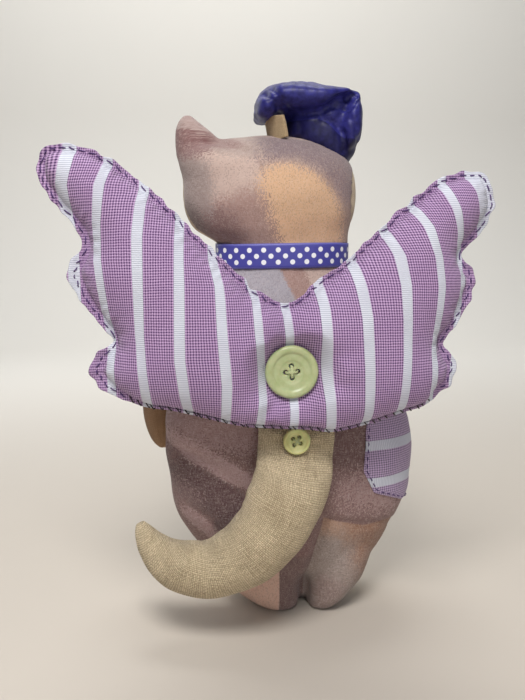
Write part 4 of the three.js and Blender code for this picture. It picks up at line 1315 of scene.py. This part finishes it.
def capParting(points):
    # where the band ends and the crown begins
    right = np.clip((points[:, 0] - 17) / 15, 0, 1)
    return 249 - 9 * right * right * (3 - 2 * right)


def addCap():
    c = cap
    parts = []
    for rows in (c["roll"], c["corner"]):
        points, _, _, _, count = tube(rows, 60, 48)
        parts.append(capped(points, gridFaces(count, 48), count, 48))
    parts.append(closedLoft(c["wall"], 50, 72))
    points, normals, faces = fused(parts, c["voxel"], 3)
    z = points[:, 2]
    # gathers run over the crown from behind to the front, and down the wall
    over = np.array([noise.noise(Vector((a / 3.4, b / 16, e / 9))) for a, b, e in points])
    down = np.array([noise.noise(Vector((a / 3.2 + 9, b / 5, e / 22))) for a, b, e in points])
    soft = np.array([noise.noise(Vector((a / 9, b / 9, e / 9 + 4))) for a, b, e in points])
    high = np.clip((z - 252) / 5, 0, 1)
    points = points + normals * ((over * high + down * (1 - high)) * c["wrinkle"] + soft * 0.7)[:, None]
    # the fold under the roll, the hollow at its left end, and the pleats of the hanging corner
    fold = [(-5.5, 262.5), (-3.4, 258), (-0.5, 254), (4, 251.8), (11, 251), (18, 251.6), (22.5, 255),
            (28, 258.6), (35, 261)]
    points = creased(points, normals, fold, 1.6, 2.0, -1)
    points = creased(points, normals, fold, 1.7, 1.8, 1)
    points = creased(points, normals, [(-8.6, 260), (-5.6, 256), (-1.6, 251.6)], 1.7, 1.8, -1)
    points = creased(points, normals, [(19, 249), (25, 247.5), (29, 242), (30, 235)], 1.5, 1.5, -1)
    points = creased(points, normals, [(24, 254.5), (31, 254), (36.5, 258)], 1.3, 1.4, -1)
    points = creased(points, normals, [(31, 250), (35, 245), (37, 239)], 1.5, 0.9, -1)
    points = creased(points, normals, [(8, 249), (9, 245), (8, 241)], 1.6, 0.8, -1)
    # the band takes the darker satin, painted shade under the roll
    for name, sign, node in (("capCrown", 1, "hat_crown"), ("capBand", -1, "hat_band")):
        half, halfFaces = onePart(points, faces, capParting, 2, sign)
        thing = addPiece(name, half, halfFaces, name, "doll", (node,))


def addPeak():
    # the stiff linen peak, turned up under the left of the crown, in linen darkened with painted shade
    rows = [(239, -2.8, 0), (243, -3.4, 0), (247.5, -4.2, 0.1), (251.5, -5, 0.4)]
    grid = []
    for z, x, rise in spline(rows, 16):
        for t in np.linspace(-0.76, 0.56, 40):
            lifted = max(0, -t - 0.35) * (251.5 - z) * 0.3  # the lower edge follows the head
            grid.append((x + 22 - 23.6 * math.cos(t), 23.6 * math.sin(t), z - rise * t * t * 4 + lifted))
    points = np.array(grid)
    faces = gridFaces(16, 40, False)
    place = np.stack([points[:, 1], points[:, 2]], 1)
    thing = addPiece("capPeak", points, faces, "peakLinen", "doll", ("hat_peak",), place)
    wall = thing.modifiers.new("doubleCloth", "SOLIDIFY")
    wall.thickness, wall.offset = 0.002, 0
    soft = thing.modifiers.new("softEdge", "BEVEL")
    soft.width, soft.segments = 0.0007, 3
    subdivide(thing)


addCap()
addPeak()
print("cap made")


bow = {"knot": (1.3, 27.6, 184.4)}


def ribbonStrip(name, rows, stands, across=7, thick=0.5):
    # rows of (point, direction across the ribbon, half width), with the pattern along it
    length = np.concatenate([[0], np.cumsum([np.linalg.norm(np.subtract(b[0], a[0]))
                                             for a, b in zip(rows[:-1], rows[1:])])])
    points, place = [], []
    for (spot, side, half), s in zip(rows, length):
        for k in np.linspace(-1, 1, across):
            points.append(np.array(spot) + np.array(side) * half * k)
            place.append((s, k * half))
    faces = gridFaces(len(rows), across, False)
    thing = addPiece(name, np.array(points), faces, "ribbon", "doll", stands, np.array(place))
    wall = thing.modifiers.new("ribbonThickness", "SOLIDIFY")
    wall.thickness, wall.offset = thick / 1000, 0
    print(name, "cut", round(length[-1]), "mm long")
    return thing


def tieCollar():
    ring = sectionRings([(184.4, -31, 33.6, 22, 22.4)] * 2, 2, 220)[:220]
    middle = np.array([1.3, 0, 184.4])
    away = ring - middle
    away[:, 2] = 0
    away /= np.linalg.norm(away, axis=1)[:, None]
    # starts and ends under the knot
    start = int(np.argmax(ring[:, 1]))
    order = [(start + k) % 220 for k in range(221)]
    rows = []
    for n, i in enumerate(order):
        lift = 0.85 + 0.12 * math.sin(n * 0.21) + (0.5 if n > 214 else 0)
        dip = 0.35 * math.sin(n * 0.0571)
        tilt = np.array([away[i][0] * 0.02, away[i][1] * 0.02, 1.0])
        rows.append((ring[i] + away[i] * lift + (0, 0, dip), tilt, 6.0))
    ribbonStrip("ribbonCollar", rows, ("ribbon_collar",), 9)


def tieBow():
    kx, ky, kz = bow["knot"]
    for name, side in (("left", -1), ("right", 1)):
        loop = spline([(3, 0), (7, -1.9), (14, -3.1), (22, -3.2), (28.3, -1.6), (29.9, 0.8), (28, 3.1),
                       (21.5, 4.3), (13, 3), (7, 1.4), (3, 0.4)], 60)
        rows = []
        for k, (x, y) in enumerate(loop):
            half = 5.6 - 3.4 * math.exp(-((x - 3) / 4.5) ** 2)
            twist = 0.12 * math.sin(k * 0.1)
            rows.append(((kx + side * x, ky + y, kz + 0.25 * math.sin(k * 0.2)), (0, twist, 1), half))
        ribbonStrip(f"bowLoop_{name}", rows, (f"bow_loop_{name}",), 9)
        fall = [(2.5, 180), (4.2, 174), (7, 167), (10.5, 158), (14, 149), (17, 141), (18.6, 136.5)]
        path = spline(fall, 40)
        rows = []
        for k, (x, z) in enumerate(path):
            px = kx + side * x
            y = frontOf(px, z) + 1.3 + 0.5 * math.sin(k * 0.35) * min(1, k / 12) + (0.3 if side < 0 else 0)
            y = y + 3.0 * math.exp(-k / 4)
            half = 5.4 - 3.2 * math.exp(-k / 5)
            rows.append(((px, y, z), (0.955 * side, 0, 0.3), half))
        ribbonStrip(f"bowTail_{name}", rows, (f"bow_tail_{name}",), 9)
    # the knot is one turn of ribbon over the middle
    points, place = [], []
    for t in np.linspace(0, 2 * math.pi, 34):
        half = 4.2 + 0.5 * math.sin(3 * t)
        for k in np.linspace(-1, 1, 11):
            pinch = 1 - 0.18 * k * k
            ridge = 0.25 * math.cos(k * 7)
            spotY = ky - 0.3 + (3.0 * pinch + ridge) * math.sin(t)
            points.append((kx + k * half, spotY, kz + (5.4 * pinch + ridge) * math.cos(t)))
            place.append((t * 5, k * half))
    thing = addPiece("bowKnot", np.array(points), gridFaces(34, 11, False), "ribbon", "doll", ("bow_knot",),
                     np.array(place))
    wall = thing.modifiers.new("ribbonThickness", "SOLIDIFY")
    wall.thickness, wall.offset = 0.0005, -1
    subdivide(thing)


tieCollar()
tieBow()
print("ribbon tied")


def coveFinish():
    dye = Dye("paleCove")
    x, y, z = dye.spot()
    haze = dye.cloud(dye.vector(x, y, z), 0.004, 2)
    tone = dye.mix((y - 60).rise(0, 900), studio["floor"], studio["wall"])
    return dye.finish(dye.mix(haze * 0.08, tone, studio["floor"]), 0.7)


def layFloor():
    # pale floor that turns up into a wall far behind
    s = studio
    bend = [(s["wallAway"] - s["wallBend"] + s["wallBend"] * math.sin(t), s["wallBend"] * (1 - math.cos(t)))
            for t in np.linspace(0, math.pi / 2, 24)]
    line = [(-3000, 0), *bend, (s["wallAway"], s["wallHigh"])]
    points = [(x, y, z + body["soles"]) for y, z in line for x in (-3000, 3000)]
    mesh = bpy.data.meshes.new("floor")
    mesh.from_pydata(inFrame(points).tolist(), [], gridFaces(len(line), 2, False))
    mesh.polygons.foreach_set("use_smooth", [True] * len(mesh.polygons))
    mesh.materials.append(coveFinish())
    floor = bpy.data.objects.new("floor", mesh)
    bpy.context.scene.collection.objects.link(floor)


layFloor()

print("all pieces placed")
